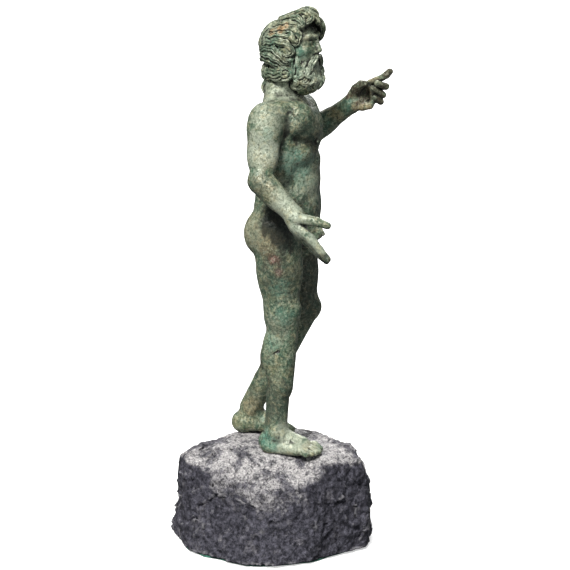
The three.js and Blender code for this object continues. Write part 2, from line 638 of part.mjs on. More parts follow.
// The stone: broken faces with a rough surface, a flat underside, and a level seat for each sole.
function stone(cell, feet) {
  const clay = new Clay(vec(-64, -60, STONE_BOTTOM - 2 * cell), vec(64, 60, 56), cell);
  const planes = [...STONE_WALLS, ...STONE_TOPS, ...STONE_SHOULDERS].map(([azimuth, rise, out, up]) => {
    const a = THREE.MathUtils.degToRad(azimuth);
    const e = THREE.MathUtils.degToRad(rise);
    const normal = vec(Math.sin(a) * Math.cos(e), -Math.cos(a) * Math.cos(e), Math.sin(e));
    return { normal, distance: out * Math.cos(e) + up * Math.sin(e) };
  });
  const broken = (x, y, z) => {
    let d = -1e3;
    for (const { normal, distance } of planes) {
      d = -smoothMin(-d, distance - normal.x * x - normal.y * y - normal.z * z, 3);
    }
    const rough = 2.4 * roughness(x / 17, y / 17, z / 17) + 1.2 * roughness(x / 7 + 9, y / 7, z / 7);
    const away = Math.min(...feet.map((foot) => foot.at(0, -7, 0).distanceTo(vec(x, y, z))));
    return d + rough * THREE.MathUtils.smoothstep(away, 12, 34);
  };
  clay.shape(broken);
  clay.carve(limb(vec(-39, -31, 44), vec(-39, -30, -4), 3, 3), 7);
  clay.carve(egg(vec(11, -55, 19), [11, 6, 8], [vec(1, 0, 0), BACK, UP]), 4);
  for (const foot of feet) clay.carve(foot.slab([0, -6.5, 10], [9, 20, 10]), 0.3);
  clay.carve(slab(vec(0, 0, STONE_BOTTOM - 20), [90, 90, 20], [vec(1, 0, 0), BACK, UP]), 0.2);
  return clay;
}


// Collapses the edges that matter least to the shape until the mesh has few enough triangles.
// Each vertex carries the sum of the squared distances to the planes around it, as ten numbers,
// and an edge costs what its best point adds.
function thin({ points, faces }, wanted) {
  const n = points.length / 3;
  const place = Float64Array.from(points);
  const quadric = new Float64Array(n * 10);
  const around = Array.from({ length: n }, () => new Set());
  const version = new Uint32Array(n);
  const corner = Int32Array.from(faces);
  const alive = new Uint8Array(faces.length / 3).fill(1);
  let left = alive.length;
  const normal = (p, q, r) => {
    const ux = q[0] - p[0];
    const uy = q[1] - p[1];
    const uz = q[2] - p[2];
    const vx = r[0] - p[0];
    const vy = r[1] - p[1];
    const vz = r[2] - p[2];
    return [uy * vz - uz * vy, uz * vx - ux * vz, ux * vy - uy * vx];
  };
  const at = (v) => [place[3 * v], place[3 * v + 1], place[3 * v + 2]];
  for (let f = 0; f < alive.length; f++) {
    const ids = [corner[3 * f], corner[3 * f + 1], corner[3 * f + 2]];
    const [a, b, c] = normal(...ids.map(at));
    const area = Math.hypot(a, b, c) || 1e-12;
    const p = at(ids[0]);
    const d = -(a * p[0] + b * p[1] + c * p[2]);
    const terms = [a * a, a * b, a * c, a * d, b * b, b * c, b * d, c * c, c * d, d * d];
    for (const id of ids) {
      around[id].add(f);
      terms.forEach((term, i) => (quadric[10 * id + i] += term / area));
    }
  }
  const cost = (q, [x, y, z]) =>
    q[0] * x * x + q[4] * y * y + q[7] * z * z + q[9] +
    2 * (q[1] * x * y + q[2] * x * z + q[5] * y * z + q[3] * x + q[6] * y + q[8] * z);
  const bestPoint = (q, p, r) => {
    const middle = [0, 1, 2].map((i) => (p[i] + r[i]) / 2);
    const options = [middle, p, r];
    const planes = new THREE.Matrix3(q[0], q[1], q[2], q[1], q[4], q[5], q[2], q[5], q[7]);
    if (Math.abs(planes.determinant()) > 1e-6) {
      const best = vec(-q[3], -q[6], -q[8]).applyMatrix3(planes.invert());
      if (best.distanceTo(vec(...middle)) < vec(...p).distanceTo(vec(...r))) options.push(best.toArray());
    }
    return options.map((o) => [cost(q, o), o]).reduce((x, y) => (y[0] < x[0] ? y : x));
  };
  const heap = [];
  const push = (entry) => {
    let i = heap.push(entry) - 1;
    while (i > 0 && heap[(i - 1) >> 1].cost > entry.cost) {
      heap[i] = heap[(i - 1) >> 1];
      i = (i - 1) >> 1;
    }
    heap[i] = entry;
  };
  const pop = () => {
    const top = heap[0];
    const last = heap.pop();
    if (!heap.length) return top;
    let i = 0;
    for (;;) {
      let child = 2 * i + 1;
      if (child >= heap.length) break;
      if (child + 1 < heap.length && heap[child + 1].cost < heap[child].cost) child++;
      if (heap[child].cost >= last.cost) break;
      heap[i] = heap[child];
      i = child;
    }
    heap[i] = last;
    return top;
  };
  const offer = (a, b) => {
    const q = new Float64Array(10);
    for (let i = 0; i < 10; i++) q[i] = quadric[10 * a + i] + quadric[10 * b + i];
    const [value, point] = bestPoint(q, at(a), at(b));
    push({ cost: value, a, b, point, stamp: version[a] + version[b] });
  };
  const neighbours = (v) => {
    const found = new Set();
    for (const f of around[v]) for (let i = 0; i < 3; i++) found.add(corner[3 * f + i]);
    found.delete(v);
    return found;
  };
  const turnsOver = (v, other, point) => {
    for (const f of around[v]) {
      const ids = [corner[3 * f], corner[3 * f + 1], corner[3 * f + 2]];
      if (ids.includes(other)) continue;
      const before = normal(...ids.map(at));
      const after = normal(...ids.map((id) => (id === v ? point : at(id))));
      const dot = before[0] * after[0] + before[1] * after[1] + before[2] * after[2];
      if (dot < 0.25 * Math.hypot(...before) * Math.hypot(...after)) return true;
    }
    return false;
  };
  for (let v = 0; v < n; v++) for (const w of neighbours(v)) if (v < w) offer(v, w);
  while (left > wanted && heap.length) {
    const { a, b, point, stamp } = pop();
    if (!around[a].size || !around[b].size || version[a] + version[b] !== stamp) continue;
    const nearA = neighbours(a);
    if (!nearA.has(b)) continue;
    const nearB = neighbours(b);
    if ([...nearA].filter((w) => nearB.has(w)).length !== 2) continue;
    if (turnsOver(a, b, point) || turnsOver(b, a, point)) continue;
    place.set(point, 3 * a);
    for (let i = 0; i < 10; i++) quadric[10 * a + i] += quadric[10 * b + i];
    for (const f of around[b]) {
      const ids = corner.subarray(3 * f, 3 * f + 3);
      if (ids.includes(a)) {
        alive[f] = 0;
        left--;
        for (const id of ids) if (id !== b) around[id].delete(f);
      } else {
        ids[ids.indexOf(b)] = a;
        around[a].add(f);
      }
    }
    around[b].clear();
    version[a]++;
    version[b]++;
    for (const w of neighbours(a)) {
      version[w]++;
    }
    for (const w of neighbours(a)) {
      offer(a, w);
      for (const x of neighbours(w)) if (x !== a) offer(w, x);
    }
  }
  const kept = { points: [], faces: [] };
  const numbered = new Map();
  for (let f = 0; f < alive.length; f++) {
    if (!alive[f]) continue;
    for (const v of corner.subarray(3 * f, 3 * f + 3)) {
      if (!numbered.has(v)) {
        numbered.set(v, numbered.size);
        kept.points.push(...at(v));
      }
      kept.faces.push(numbered.get(v));
    }
  }
  return kept;
}

const RIGHT_FOOT = new Frame(vec(-11.5, -6.6, RIGHT_SOLE), [0, 0, -4]);
const LEFT_FOOT = new Frame(vec(17, 15.5, LEFT_SOLE), [0, 0, 14]);
const HEAD = new Frame(SKULL, [0, 0, -13]);

// The whole figure, cast in one piece.
function figure(cell) {
  const clay = new Clay(vec(-58, -64, 46), vec(62, 34, 284), cell);
  torso(clay);
  neck(clay);
  leg(clay, -1, RIGHT_LEG);
  leg(clay, 1, LEFT_LEG);
  foot(clay, -1, RIGHT_FOOT);
  foot(clay, 1, LEFT_FOOT);
  arm(clay, -1, RIGHT_ARM);
  arm(clay, 1, LEFT_ARM);
  hand(clay, RIGHT_ARM.wrist, RIGHT_HAND);
  hand(clay, LEFT_ARM.wrist, LEFT_HAND);
  groin(clay);
  face(clay, HEAD);
  beard(clay, HEAD);
  hair(clay, HEAD);
  return clay;
}

// The stone's outline on the felt, from the broken faces that reach it.
function outline(inset) {
  const points = [];
  for (let azimuth = 0; azimuth < 360; azimuth += 10) {
    const reach = Math.min(...STONE_WALLS.map(([toward, , out]) => {
      const share = Math.cos(THREE.MathUtils.degToRad(toward - azimuth));
      return share > 0.1 ? out / share : Infinity;
    }));
    const a = THREE.MathUtils.degToRad(azimuth);
    points.push(new THREE.Vector2(Math.sin(a), -Math.cos(a)).multiplyScalar(reach - inset));
  }
  return points;
}

// A named solid of one material.
function solid(name, geometry, material) {
  geometry.computeVertexNormals();
  const mesh = new THREE.Mesh(geometry, material);
  mesh.name = name;
  return mesh;
}

// Geometry of a thinned skin of clay.
function skinned(clay, triangles) {
  const { points, faces } = thin(skin(clay), triangles);
  const geometry = new THREE.BufferGeometry();
  geometry.setAttribute("position", new THREE.Float32BufferAttribute(points, 3));
  return geometry.setIndex(faces);
}

// Geometry of the felt, cut to the stone's outline.
function cutFelt() {
  const shape = new THREE.Shape(outline(FELT_INSET));
  const geometry = new THREE.ExtrudeGeometry(shape, { depth: FELT_THICKNESS, bevelEnabled: false });
  geometry.deleteAttribute("normal");
  geometry.deleteAttribute("uv");
  return mergeVertices(geometry);
}

const bronze = new THREE.MeshStandardMaterial({ color: 0x6d7f6b, roughness: 0.62, metalness: 0.35 });
const rock = new THREE.MeshStandardMaterial({ color: 0x5a565c, roughness: 0.92, metalness: 0 });
const felt = new THREE.MeshStandardMaterial({ color: 0x1d5a44, roughness: 1, metalness: 0 });

const statuette = new THREE.Group();
statuette.name = "bronze_god_statuette";
const seats = [RIGHT_FOOT, LEFT_FOOT].map((foot) => foot.moved(0, 0, -GAP));
statuette.add(
  solid("bronze_figure", skinned(figure(FIGURE_CELL), FIGURE_TRIANGLES), bronze),
  solid("stone_base", skinned(stone(STONE_CELL, seats), STONE_TRIANGLES), rock),
  solid("felt_pad", cutFelt(), felt),
);

export default statuette;
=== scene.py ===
import math

import bmesh
import bpy
import numpy as np
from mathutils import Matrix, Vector


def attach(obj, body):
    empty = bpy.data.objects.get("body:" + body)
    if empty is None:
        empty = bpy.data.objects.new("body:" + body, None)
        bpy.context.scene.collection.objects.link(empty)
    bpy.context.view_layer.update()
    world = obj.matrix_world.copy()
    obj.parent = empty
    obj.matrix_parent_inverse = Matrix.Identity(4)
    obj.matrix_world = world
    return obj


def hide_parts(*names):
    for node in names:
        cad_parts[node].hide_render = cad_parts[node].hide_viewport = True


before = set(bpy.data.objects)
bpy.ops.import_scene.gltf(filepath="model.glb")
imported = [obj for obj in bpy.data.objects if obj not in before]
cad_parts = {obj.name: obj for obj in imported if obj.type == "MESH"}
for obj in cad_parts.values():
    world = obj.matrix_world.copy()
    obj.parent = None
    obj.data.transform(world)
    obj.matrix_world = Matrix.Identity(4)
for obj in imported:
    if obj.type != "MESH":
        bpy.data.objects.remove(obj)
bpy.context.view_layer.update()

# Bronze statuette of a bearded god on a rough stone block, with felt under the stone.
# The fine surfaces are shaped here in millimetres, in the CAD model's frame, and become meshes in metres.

MM = 0.001

# Steps of the grids that the fine surfaces are shaped on, in millimetres, and what each piece is thinned to
BODY_CELL = 0.44
HEAD_CELL = 0.24
STONE_CELL = 0.6
PIECE_TRIANGLES = 195000

# Heights of the two soles, the felt and the stone's underside, and the gap under the soles
RIGHT_SOLE = 51.5
LEFT_SOLE = 52.3
FELT_THICKNESS = 0.9
STONE_BOTTOM = 1.2
SEAT_GAP = 0.3

# How far the felt lies in from the stone's edge, and the floor's reach from the middle
FELT_INSET = 2.2
FLOOR_REACH = 15000


def vec(*values):
    return np.array(values, dtype=float)


ACROSS, BACK, UP = np.eye(3)

# Joints of the pose, and how far the chest and pelvis are turned about the upright
SKULL = vec(0.5, -10, 260)
NECK = vec(0, -6, 231)
CHEST = vec(0, -8, 211)
PELVIS = vec(0, -6.5, 168)
CHEST_TURN = 11
PELVIS_TURN = 5

# Shoulder, elbow and wrist, and hip, knee and ankle, of the right side and the left
ARMS = {
    -1: (vec(-23, -4, 225.5), vec(-34.5, -4.5, 196.5), vec(-39.5, -22.8, 181.6)),
    1: (vec(23, -4, 225), vec(47, -8.5, 205.8), vec(43.5, -31, 222.8)),
}
LEGS = {
    -1: (vec(-10.5, -6, 169), vec(-12, -9, 125.5), vec(-11.5, -6.2, 61.5)),
    1: (vec(10.5, -6.5, 167), vec(15, -12.4, 122), vec(17, 16, 63)),
}


# Distances and directions


def unit(direction):
    return direction / np.linalg.norm(direction)


def dot(p, direction):
    """How far places, as their x, y and z, lie along a direction."""
    return p[0] * direction[0] + p[1] * direction[1] + p[2] * direction[2]


def length(p):
    return np.sqrt(p[0] ** 2 + p[1] ** 2 + p[2] ** 2)


def turned(direction, about, degrees):
    a = math.radians(degrees)
    across = np.cross(about, direction) * math.sin(a)
    return direction * math.cos(a) + across + about * (about @ direction) * (1 - math.cos(a))


def tilted(axes, turn):
    """Three directions, turned about their own first, second and third in that order, in degrees."""
    axes = [axis.copy() for axis in axes]
    for i, degrees in enumerate(turn):
        about = axes[i].copy()
        axes = [turned(axis, about, degrees) for axis in axes]
    return axes


def smooth_min(a, b, blend):
    """The smaller of two distances, with the crease between them filled over a width of blend."""
    h = np.maximum(blend - np.abs(a - b), 0)
    return np.minimum(a, b) - h * h / (4 * blend)


def smooth_step(value, low, high):
    t = np.clip((value - low) / (high - low), 0, 1)
    return t * t * (3 - 2 * t)


def limb(a, b, ra, rb):
    """A solid that tapers from one ball to another, as a limb does."""
    ab = b - a
    length_squared = max(ab @ ab, 1e-9)

    def distance(x, y, z):
        p = (x - a[0], y - a[1], z - a[2])
        t = np.clip(dot(p, ab) / length_squared, 0, 1)
        away = length([p[k] - ab[k] * t for k in range(3)])
        return away - ra + (ra - rb) * t

    reach = max(ra, rb)
    return np.minimum(a, b) - reach, np.maximum(a, b) + reach, distance


def egg(centre, sizes, axes):
    """An ellipsoid with half-sizes along three directions."""
    half = np.sqrt(((np.array(axes).T * sizes) ** 2).sum(1))

    def distance(x, y, z):
        p = (x - centre[0], y - centre[1], z - centre[2])
        k0 = 0
        k1 = 0
        for axis, size in zip(axes, sizes):
            share = dot(p, axis) / size
            k0 = k0 + share**2
            k1 = k1 + (share / size) ** 2
        k0 = np.sqrt(k0)
        return k0 * (k0 - 1) / np.maximum(np.sqrt(k1), 1e-6)

    return centre - half, centre + half, distance


def slab(centre, sizes, axes):
    """A flat-faced block with half-sizes along three directions."""
    half = np.abs(np.array(axes).T * sizes).sum(1)

    def distance(x, y, z):
        p = (x - centre[0], y - centre[1], z - centre[2])
        beyond = [np.abs(dot(p, axis)) - size for axis, size in zip(axes, sizes)]
        outside = np.sqrt(sum(np.maximum(d, 0) ** 2 for d in beyond))
        return outside + np.minimum(np.maximum(np.maximum(beyond[0], beyond[1]), beyond[2]), 0)

    return centre - half, centre + half, distance


class Frame:
    """A place with its own directions: across to the figure's left, to the back, and up."""

    def __init__(self, origin, turn=(0, 0, 0)):
        self.origin = origin
        self.axes = tilted([ACROSS, BACK, UP], turn)

    def at(self, x, y, z):
        return self.origin + x * self.axes[0] + y * self.axes[1] + z * self.axes[2]

    def egg(self, place, sizes, turn=(0, 0, 0)):
        return egg(self.at(*place), sizes, tilted(self.axes, turn))

    def limb(self, start, end, ra, rb):
        return limb(self.at(*start), self.at(*end), ra, rb)

    def slab(self, place, sizes):
        return slab(self.at(*place), sizes, self.axes)


class Bone:
    """A bone and its directions: outward from the middle of the body, to the back, and along it."""

    def __init__(self, start, end, side):
        self.start = start
        self.length = np.linalg.norm(end - start)
        self.along = unit(end - start)
        self.back = unit(BACK - self.along * (BACK @ self.along))
        self.out = np.cross(self.along, self.back)
        if self.out[0] * side < 0:
            self.out = -self.out

    def at(self, out, back, share):
        return self.start + self.along * share * self.length + self.out * out + self.back * back

    def egg(self, place, sizes):
        return egg(self.at(*place), sizes, [self.out, self.back, self.along])

    def limb(self, start, end, ra, rb):
        return limb(self.at(*start), self.at(*end), ra, rb)


# Parts of the pose that are turned, in degrees about their own directions
CHEST_FRAME = Frame(CHEST, (0, 2, CHEST_TURN))
PELVIS_FRAME = Frame(PELVIS, (0, 3, PELVIS_TURN))
HEAD = Frame(SKULL, (0, 0, -13))
RIGHT_FOOT = Frame(vec(-11.5, -6.6, RIGHT_SOLE), (0, 0, -4))
LEFT_FOOT = Frame(vec(17, 15.5, LEFT_SOLE), (0, 0, 14))


# Clay: a grid of distances to a surface, negative inside, that parts are added to and carved out of

FAR = 1000.0
CUBE = [(c & 1, c >> 1 & 1, c >> 2) for c in range(8)]


def corners_of_cells(shape):
    """For each of the eight corners that a grid's cells have, the grid points that are such a corner."""
    return [tuple(slice(d, n - 1 + d) for d, n in zip(at, shape)) for at in CUBE]


class Clay:
    def __init__(self, low, high, step):
        """A grid of points a step apart, from a low corner to a high one."""
        self.step = step
        self.lines = [np.arange(a, b, step, dtype=np.float32) for a, b in zip(low, high)]
        self.field = np.full([len(line) for line in self.lines], FAR, np.float32)

    def places(self, window):
        """The x, y and z of a window's grid points, ready to be combined."""
        x, y, z = (line[w] for line, w in zip(self.lines, window))
        return x[:, None, None], y[None, :, None], z[None, None, :]

    def window(self, low, high):
        """The part of the grid between a low corner and a high one."""
        first = [int(np.searchsorted(line, v)) for line, v in zip(self.lines, low)]
        last = [int(np.searchsorted(line, v, "right")) for line, v in zip(self.lines, high)]
        return tuple(slice(a, max(a, b)) for a, b in zip(first, last))

    def change(self, part, reach, rule):
        low, high, distance = part
        window = self.window(low - reach, high + reach)
        if self.field[window].size:
            self.field[window] = rule(self.field[window], distance(*self.places(window)))

    def add(self, part, blend=1.0):
        self.change(part, blend + 2 * self.step, lambda old, d: smooth_min(old, d, blend))

    def carve(self, part, blend=1.0):
        self.change(part, blend + 2 * self.step, lambda old, d: -smooth_min(-old, d, blend))

    def front(self, x, z):
        """Where the surface first comes, seen from the front."""
        i = np.searchsorted(self.lines[0], x)
        k = np.searchsorted(self.lines[2], z)
        column = self.field[i, :, k]
        j = int(np.argmax(column < 0))
        near, far = self.lines[1][j - 1], self.lines[1][j]
        return vec(x, near + (far - near) * column[j - 1] / (column[j - 1] - column[j]), z)

    def roughen(self, depth, relief):
        """Moves the surface in or out by a relief, within a band of some depth on both sides of it."""
        band = np.nonzero(np.abs(self.field) < depth)
        place = [line[at].astype(float) for line, at in zip(self.lines, band)]
        self.field[band] += relief(*place).astype(np.float32)

    def sample(self, points):
        """The distance at any places, from the grid points around each."""
        p = [np.interp(points[:, i], line, np.arange(len(line))) for i, line in enumerate(self.lines)]
        p = np.clip(np.stack(p, 1), 0, np.array(self.field.shape) - 1.001)
        i = p.astype(int)
        f = p - i
        total = 0
        for d in CUBE:
            weight = np.prod(np.where(d, f, 1 - f), axis=1)
            total = total + weight * self.field[tuple((i + d).T)]
        return total


def settle(clay):
    """Fills the few grid points where the surface would touch itself along an edge or at a corner."""
    field = clay.field
    fill = -0.2 * clay.step
    for _ in range(8):
        inside = field < 0
        changed = 0
        for axis in range(3):
            u, v = (axis + 1) % 3, (axis + 2) % 3

            def part(du, dv, grid):
                cut = [slice(None)] * 3
                cut[u] = slice(du, grid.shape[u] - 1 + du)
                cut[v] = slice(dv, grid.shape[v] - 1 + dv)
                return grid[tuple(cut)]

            a, b, c, d = (part(*at, inside) for at in ((0, 0), (1, 0), (1, 1), (0, 1)))
            crossed = (a == c) & (b == d) & (a != b)
            for at, outside in (((0, 0), ~a), ((1, 0), ~b)):
                where = crossed & outside
                changed += int(where.sum())
                part(*at, field)[where] = fill
        cut = corners_of_cells(field.shape)
        count = sum(inside[c].astype(np.int8) for c in cut)
        for c in range(4):
            same = inside[cut[c]] == inside[cut[7 - c]]
            lone = same & (inside[cut[c]] & (count == 2) | ~inside[cut[c]] & (count == 6))
            changed += int(lone.sum())
            field[cut[c]][lone & ~inside[cut[c]]] = fill
            field[cut[(c + 1) % 4]][lone & inside[cut[c]]] = fill
        if not changed:
            return


def skin(clay):
    """The surface where the distance is zero, as points and four-sided faces."""
    settle(clay)
    field = clay.field
    inside = field < 0
    corner = np.array(CUBE)
    count = sum(inside[cut].astype(np.int8) for cut in corners_of_cells(field.shape))
    cells = np.argwhere((count > 0) & (count < 8))
    value = np.stack([field[tuple((cells + at).T)] for at in corner], 1)
    total = np.zeros((len(cells), 3))
    crossings = np.zeros(len(cells))
    for axis in range(3):
        for c in range(8):
            if c >> axis & 1:
                continue
            a, b = value[:, c], value[:, c | 1 << axis]
            crossed = (a < 0) != (b < 0)
            share = np.where(crossed, a / np.where(crossed, a - b, 1), 0)
            total += crossed[:, None] * corner[c]
            total[:, axis] += share
            crossings += crossed
    share = cells + total / crossings[:, None]
    points = [np.interp(share[:, i], np.arange(len(line)), line) for i, line in enumerate(clay.lines)]
    number = np.full(count.shape, -1, np.int32)
    number[tuple(cells.T)] = np.arange(len(cells))
    faces = []
    for axis in range(3):
        step, u, v = np.roll(np.eye(3, dtype=int), -axis, axis=0)
        near = inside[tuple(slice(1, n - 1) for n in inside.shape)]
        far = inside[tuple(slice(1 + s, n - 1 + s) for n, s in zip(inside.shape, step))]
        for way in (True, False):
            at = np.argwhere((near != far) & (near == way)) + 1
            quad = [number[tuple((at - offset).T)] for offset in (u + v, v, 0 * u, u)]
            faces.append(np.stack(quad if way else quad[::-1], 1))
    return np.stack(points, 1), np.concatenate(faces)


def hashed(ix, iy, iz):
    """A repeatable number from -1 to 1 for each corner of a grid."""
    h = ix.astype(np.uint32) * np.uint32(374761393) ^ iy.astype(np.uint32) * np.uint32(668265263)
    h = h ^ iz.astype(np.uint32) * np.uint32(1274126177)
    h = (h ^ h >> np.uint32(13)) * np.uint32(1103515245)
    h = (h ^ h >> np.uint32(16)) * np.uint32(2246822519)
    return (h ^ h >> np.uint32(15)) / 2147483648 - 1


def roughness(x, y, z):
    """A repeatable rough value between -1 and 1 that changes smoothly from place to place."""
    low = [np.floor(value).astype(np.int64) for value in (x, y, z)]
    ease = [t * t * (3 - 2 * t) for t in (value - start for value, start in zip((x, y, z), low))]
    total = 0
    for d in CUBE:
        weight = 1
        for t, far in zip(ease, d):
            weight = weight * (t if far else 1 - t)
        total = total + weight * hashed(low[0] + d[0], low[1] + d[1], low[2] + d[2])
    return total


# The figure's body


def groove(clay, places, depth):
    """A shallow line pressed into the front of the body through some places across and up."""
    radius = 1.1
    line = [clay.front(x, z) + vec(0, -1.2 + depth, 0) for x, z in places]
    for a, b in zip(line, line[1:]):
        clay.carve(limb(a, b, radius, radius), 1.6)


def trunk(clay):
    """Chest, belly, back and hips."""
    chest, pelvis = CHEST_FRAME, PELVIS_FRAME
    clay.add(chest.egg([0, 0.6, -1], [19.3, 14.9, 23]), 1)
    clay.add(chest.egg([0, 1, 11], [22, 10.5, 9]), 6)
    clay.add(pelvis.egg([0, 0.5, 4], [18.5, 14, 13]), 4)
    clay.add(limb(chest.at(0, -1.5, -8), pelvis.at(0, -2.5, 12), 15, 14.8), 6)
    clay.add(pelvis.egg([0, -7.5, 9], [13, 11, 12]), 5)
    clay.add(pelvis.egg([0, -11, -3], [7.5, 8, 9]), 5)
    clay.add(chest.egg([0, -5.4, -18], [13.5, 10.4, 15]), 5)
    for s in (-1, 1):
        clay.add(chest.limb([s * 8, 2, 18.5], [s * 20, 2, 17.5], 4.5, 4.8), 6)
        clay.add(chest.egg([s * 17, 3.5, -3], [6, 9, 18], [0, s * 6, 0]), 4)
        clay.add(chest.egg([s * 11, 9, 7], [9.5, 6, 11], [0, 0, s * -12]), 4)
        clay.add(limb(chest.at(s * 4.8, 10, -8), pelvis.at(s * 4.8, 8, 8), 4.5, 4.5), 4)
        clay.add(pelvis.egg([s * 11.6, -4.5, 18], [6.2, 9.3, 9], [0, s * -12, 0]), 4)
        clay.add(pelvis.egg([s * 9.3, 8, -3], [10, 10.2, 12], [8, 0, 0]), 2.5)
        clay.add(pelvis.egg([s * 15, 0, -2], [6.5, 9.5, 13]), 5)
        for z, size in ((-10, 5), (-20, 5.4), (-30, 5.4)):
            clay.add(chest.egg([s * 5, -11.8, z], [5.6, 4, size]), 4)
        clay.carve(limb(pelvis.at(s * 15, -14, 14), pelvis.at(s * 4.5, -20.8, -3), 0.8, 0.8), 2.5)
        clay.add(chest.egg([s * 9.4, -9, 8], [12, 8.8, 9.5], [0, s * -20, s * 18]), 1.6)
        clay.add(chest.egg([s * 6.4, -9.4, 1], [7.6, 8.4, 6.5], [0, 0, s * 10]), 2)
        clay.add(chest.egg([s * 17.4, -4.6, 12], [5.6, 7, 7], [0, s * -30, s * 20]), 3)
        clay.add(chest.egg([s * 14.5, -7.8, 15], [8, 6.6, 6], [0, s * -30, s * 20]), 3)
        clay.add(chest.egg([s * 9.5, -7.4, -3], [9.5, 8, 9], [0, 0, s * 14]), 2)
        clay.add(chest.limb([s * 3, -9, 18], [s * 19, -2.5, 19.5], 1.3, 1.5), 4)
    clay.carve(limb(chest.at(0, 16.8, 12), pelvis.at(0, 13.5, 8), 1.2, 1.2), 4)
    clay.carve(pelvis.limb([0, 19.5, 5], [0, 17, -14], 1, 1.6), 2.5)


def marks(clay):
    """Nipples, navel, and the shallow lines between the muscles of the chest and belly."""
    middle = 2
    groove(clay, [[2.6, 228], [2.6, 220], [2.6, 211]], 0.7)
    groove(clay, [[2.2, 206], [1.8, 196], [1.4, 190]], 0.3)
    for s in (-1, 1):
        nipple = clay.front(middle + s * 10.4, CHEST[2] + 1.8)
        clay.add(egg(nipple, [1.3, 0.5, 1.3], CHEST_FRAME.axes), 0.6)
        clay.add(egg(nipple + vec(0, -0.4, 0), [0.6, 0.6, 0.6], CHEST_FRAME.axes), 0.3)
        under = ((1.5, 205), (6, 204.8), (11, 208), (15.5, 212.6))
        groove(clay, [[middle + s * x, z] for x, z in under], 0.7)
    clay.carve(egg(clay.front(1.4, 188.6), [0.9, 1.3, 1.1], CHEST_FRAME.axes), 0.8)


def neck(clay):
    """Neck, with the two muscles that run from behind the ears to the pit of the throat."""
    clay.add(limb(NECK, SKULL + vec(0, 2.5, -10), 9.4, 8.4), 4)
    for s in (-1, 1):
        clay.add(limb(vec(s * 7.5, -6, 247), vec(s * 2.6, -16, 230.5), 2, 1.5), 2)
        clay.add(limb(vec(s * 5, -3.5, 238), vec(s * 14, -3, 229.5), 3, 3.6), 4)


def arm(clay, side, shoulder, elbow, wrist):
    """Shoulder, upper arm with its front and back muscles, and forearm."""
    upper = Bone(shoulder, elbow, side)
    clay.add(upper.egg([1.2, 0, 0.14], [8.6, 9, 12.5]), 4)
    clay.add(limb(shoulder, elbow, 7.2, 5.4), 3)
    clay.add(upper.egg([0.3, -2.8, 0.55], [5.2, 5.2, 11]), 2)
    clay.add(upper.egg([0.5, 3, 0.5], [5.6, 5.2, 11.5]), 2)
    clay.add(upper.limb([0, 3, 0.96], [0, 1, 1], 3, 4.2), 2)
    fore = Bone(elbow, wrist, side)
    clay.add(limb(elbow, wrist, 6, 4.7), 3)
    clay.add(fore.egg([1.2, -1.6, 0.28], [4.8, 4.8, 9.5]), 2)
    clay.add(fore.egg([-1.2, 1.6, 0.34], [4.8, 4.6, 10]), 2)


def leg(clay, side, hip, knee, ankle):
    """Thigh, kneecap, shin, calf and ankle bones."""
    thigh = Bone(hip, knee, side)
    clay.add(limb(hip, knee, 12, 7.8), 4)
    clay.add(thigh.egg([0, -3.5, 0.45], [8, 8.5, 20]), 3)
    clay.add(thigh.egg([4.5, 0, 0.45], [6.5, 8.5, 19]), 3)
    clay.add(thigh.egg([-4, -2.5, 0.78], [4.8, 5.5, 9]), 2.5)
    clay.add(thigh.egg([0, 4.5, 0.5], [8, 7, 18]), 3)
    clay.add(thigh.egg([-4.5, 1.5, 0.22], [6.5, 8.5, 14]), 3)
    shank = Bone(knee, ankle, side)
    clay.add(shank.egg([0, -5.8, -0.02], [4.2, 3.4, 5]), 1.5)
    clay.add(shank.limb([0, -5, 0.1], [0, -2.8, 0.6], 2.6, 2.8), 2.5)
    clay.add(limb(knee, ankle, 7.2, 5.2), 7)
    clay.add(shank.egg([-3, 3.8, 0.36], [5, 5.6, 14.5]), 2)
    clay.add(shank.egg([3, 3.4, 0.33], [4.8, 5.4, 13]), 2)
    clay.add(shank.egg([1.5, -2.6, 0.36], [4.5, 4, 16]), 2.5)
    clay.add(shank.limb([0, 3, 0.7], [0, 4, 0.98], 2.6, 2.2), 2)
    clay.add(shank.egg([4.6, 0.2, 0.98], [1.7, 2.4, 2.8]), 1.5)
    clay.add(shank.egg([-4.6, -0.6, 0.95], [1.8, 2.6, 2.8]), 1.5)


# The toes, from the big one: how far across and forward each lies, and its radius
TOES = ((-4.3, 23.2, 2.4), (-1.3, 23.4, 1.75), (1.2, 22.5, 1.65), (3.5, 21, 1.6), (5.6, 19, 1.55))


def foot(clay, side, place):
    """Foot with five toes, on a frame whose origin is on the sole, under the ankle."""
    clay.add(place.egg([0, 4.4, 5.2], [5, 5.6, 5.8]), 2)
    clay.add(place.limb([0, -1, 8.5], [-side * 1.4, -12.5, 4.8], 5, 3.8), 3)
    clay.add(place.limb([side * 2.2, 3, 3], [side * 3.6, -11.5, 2.8], 3.4, 2.9), 3)
    clay.add(place.limb([-side * 2, 2, 5], [-side * 3.6, -12.5, 3.4], 3.4, 3.3), 3)
    clay.add(place.egg([0, -13.5, 3.2], [6.2, 4.4, 3.1]), 2)
    for x, reach, radius in TOES:
        knuckle = [side * x * 1.02, -reach + 4.8, radius + 1.4]
        tip = [side * x, -reach + radius, radius * 0.95]
        clay.add(place.limb([side * x * 0.9, -13.5, 3.4], knuckle, radius, radius), 0.6)
        clay.add(place.limb(knuckle, tip, radius, radius * 0.94), 0.4)
        nail = [side * x, -reach + radius * 1.3, radius * 1.75]
        clay.add(place.egg(nail, [radius * 0.55, radius * 0.6, 0.35]), 0.15)
    clay.carve(place.slab([0, -6, -10], [16, 24, 10]), 0.4)


# The head: face, beard and hair

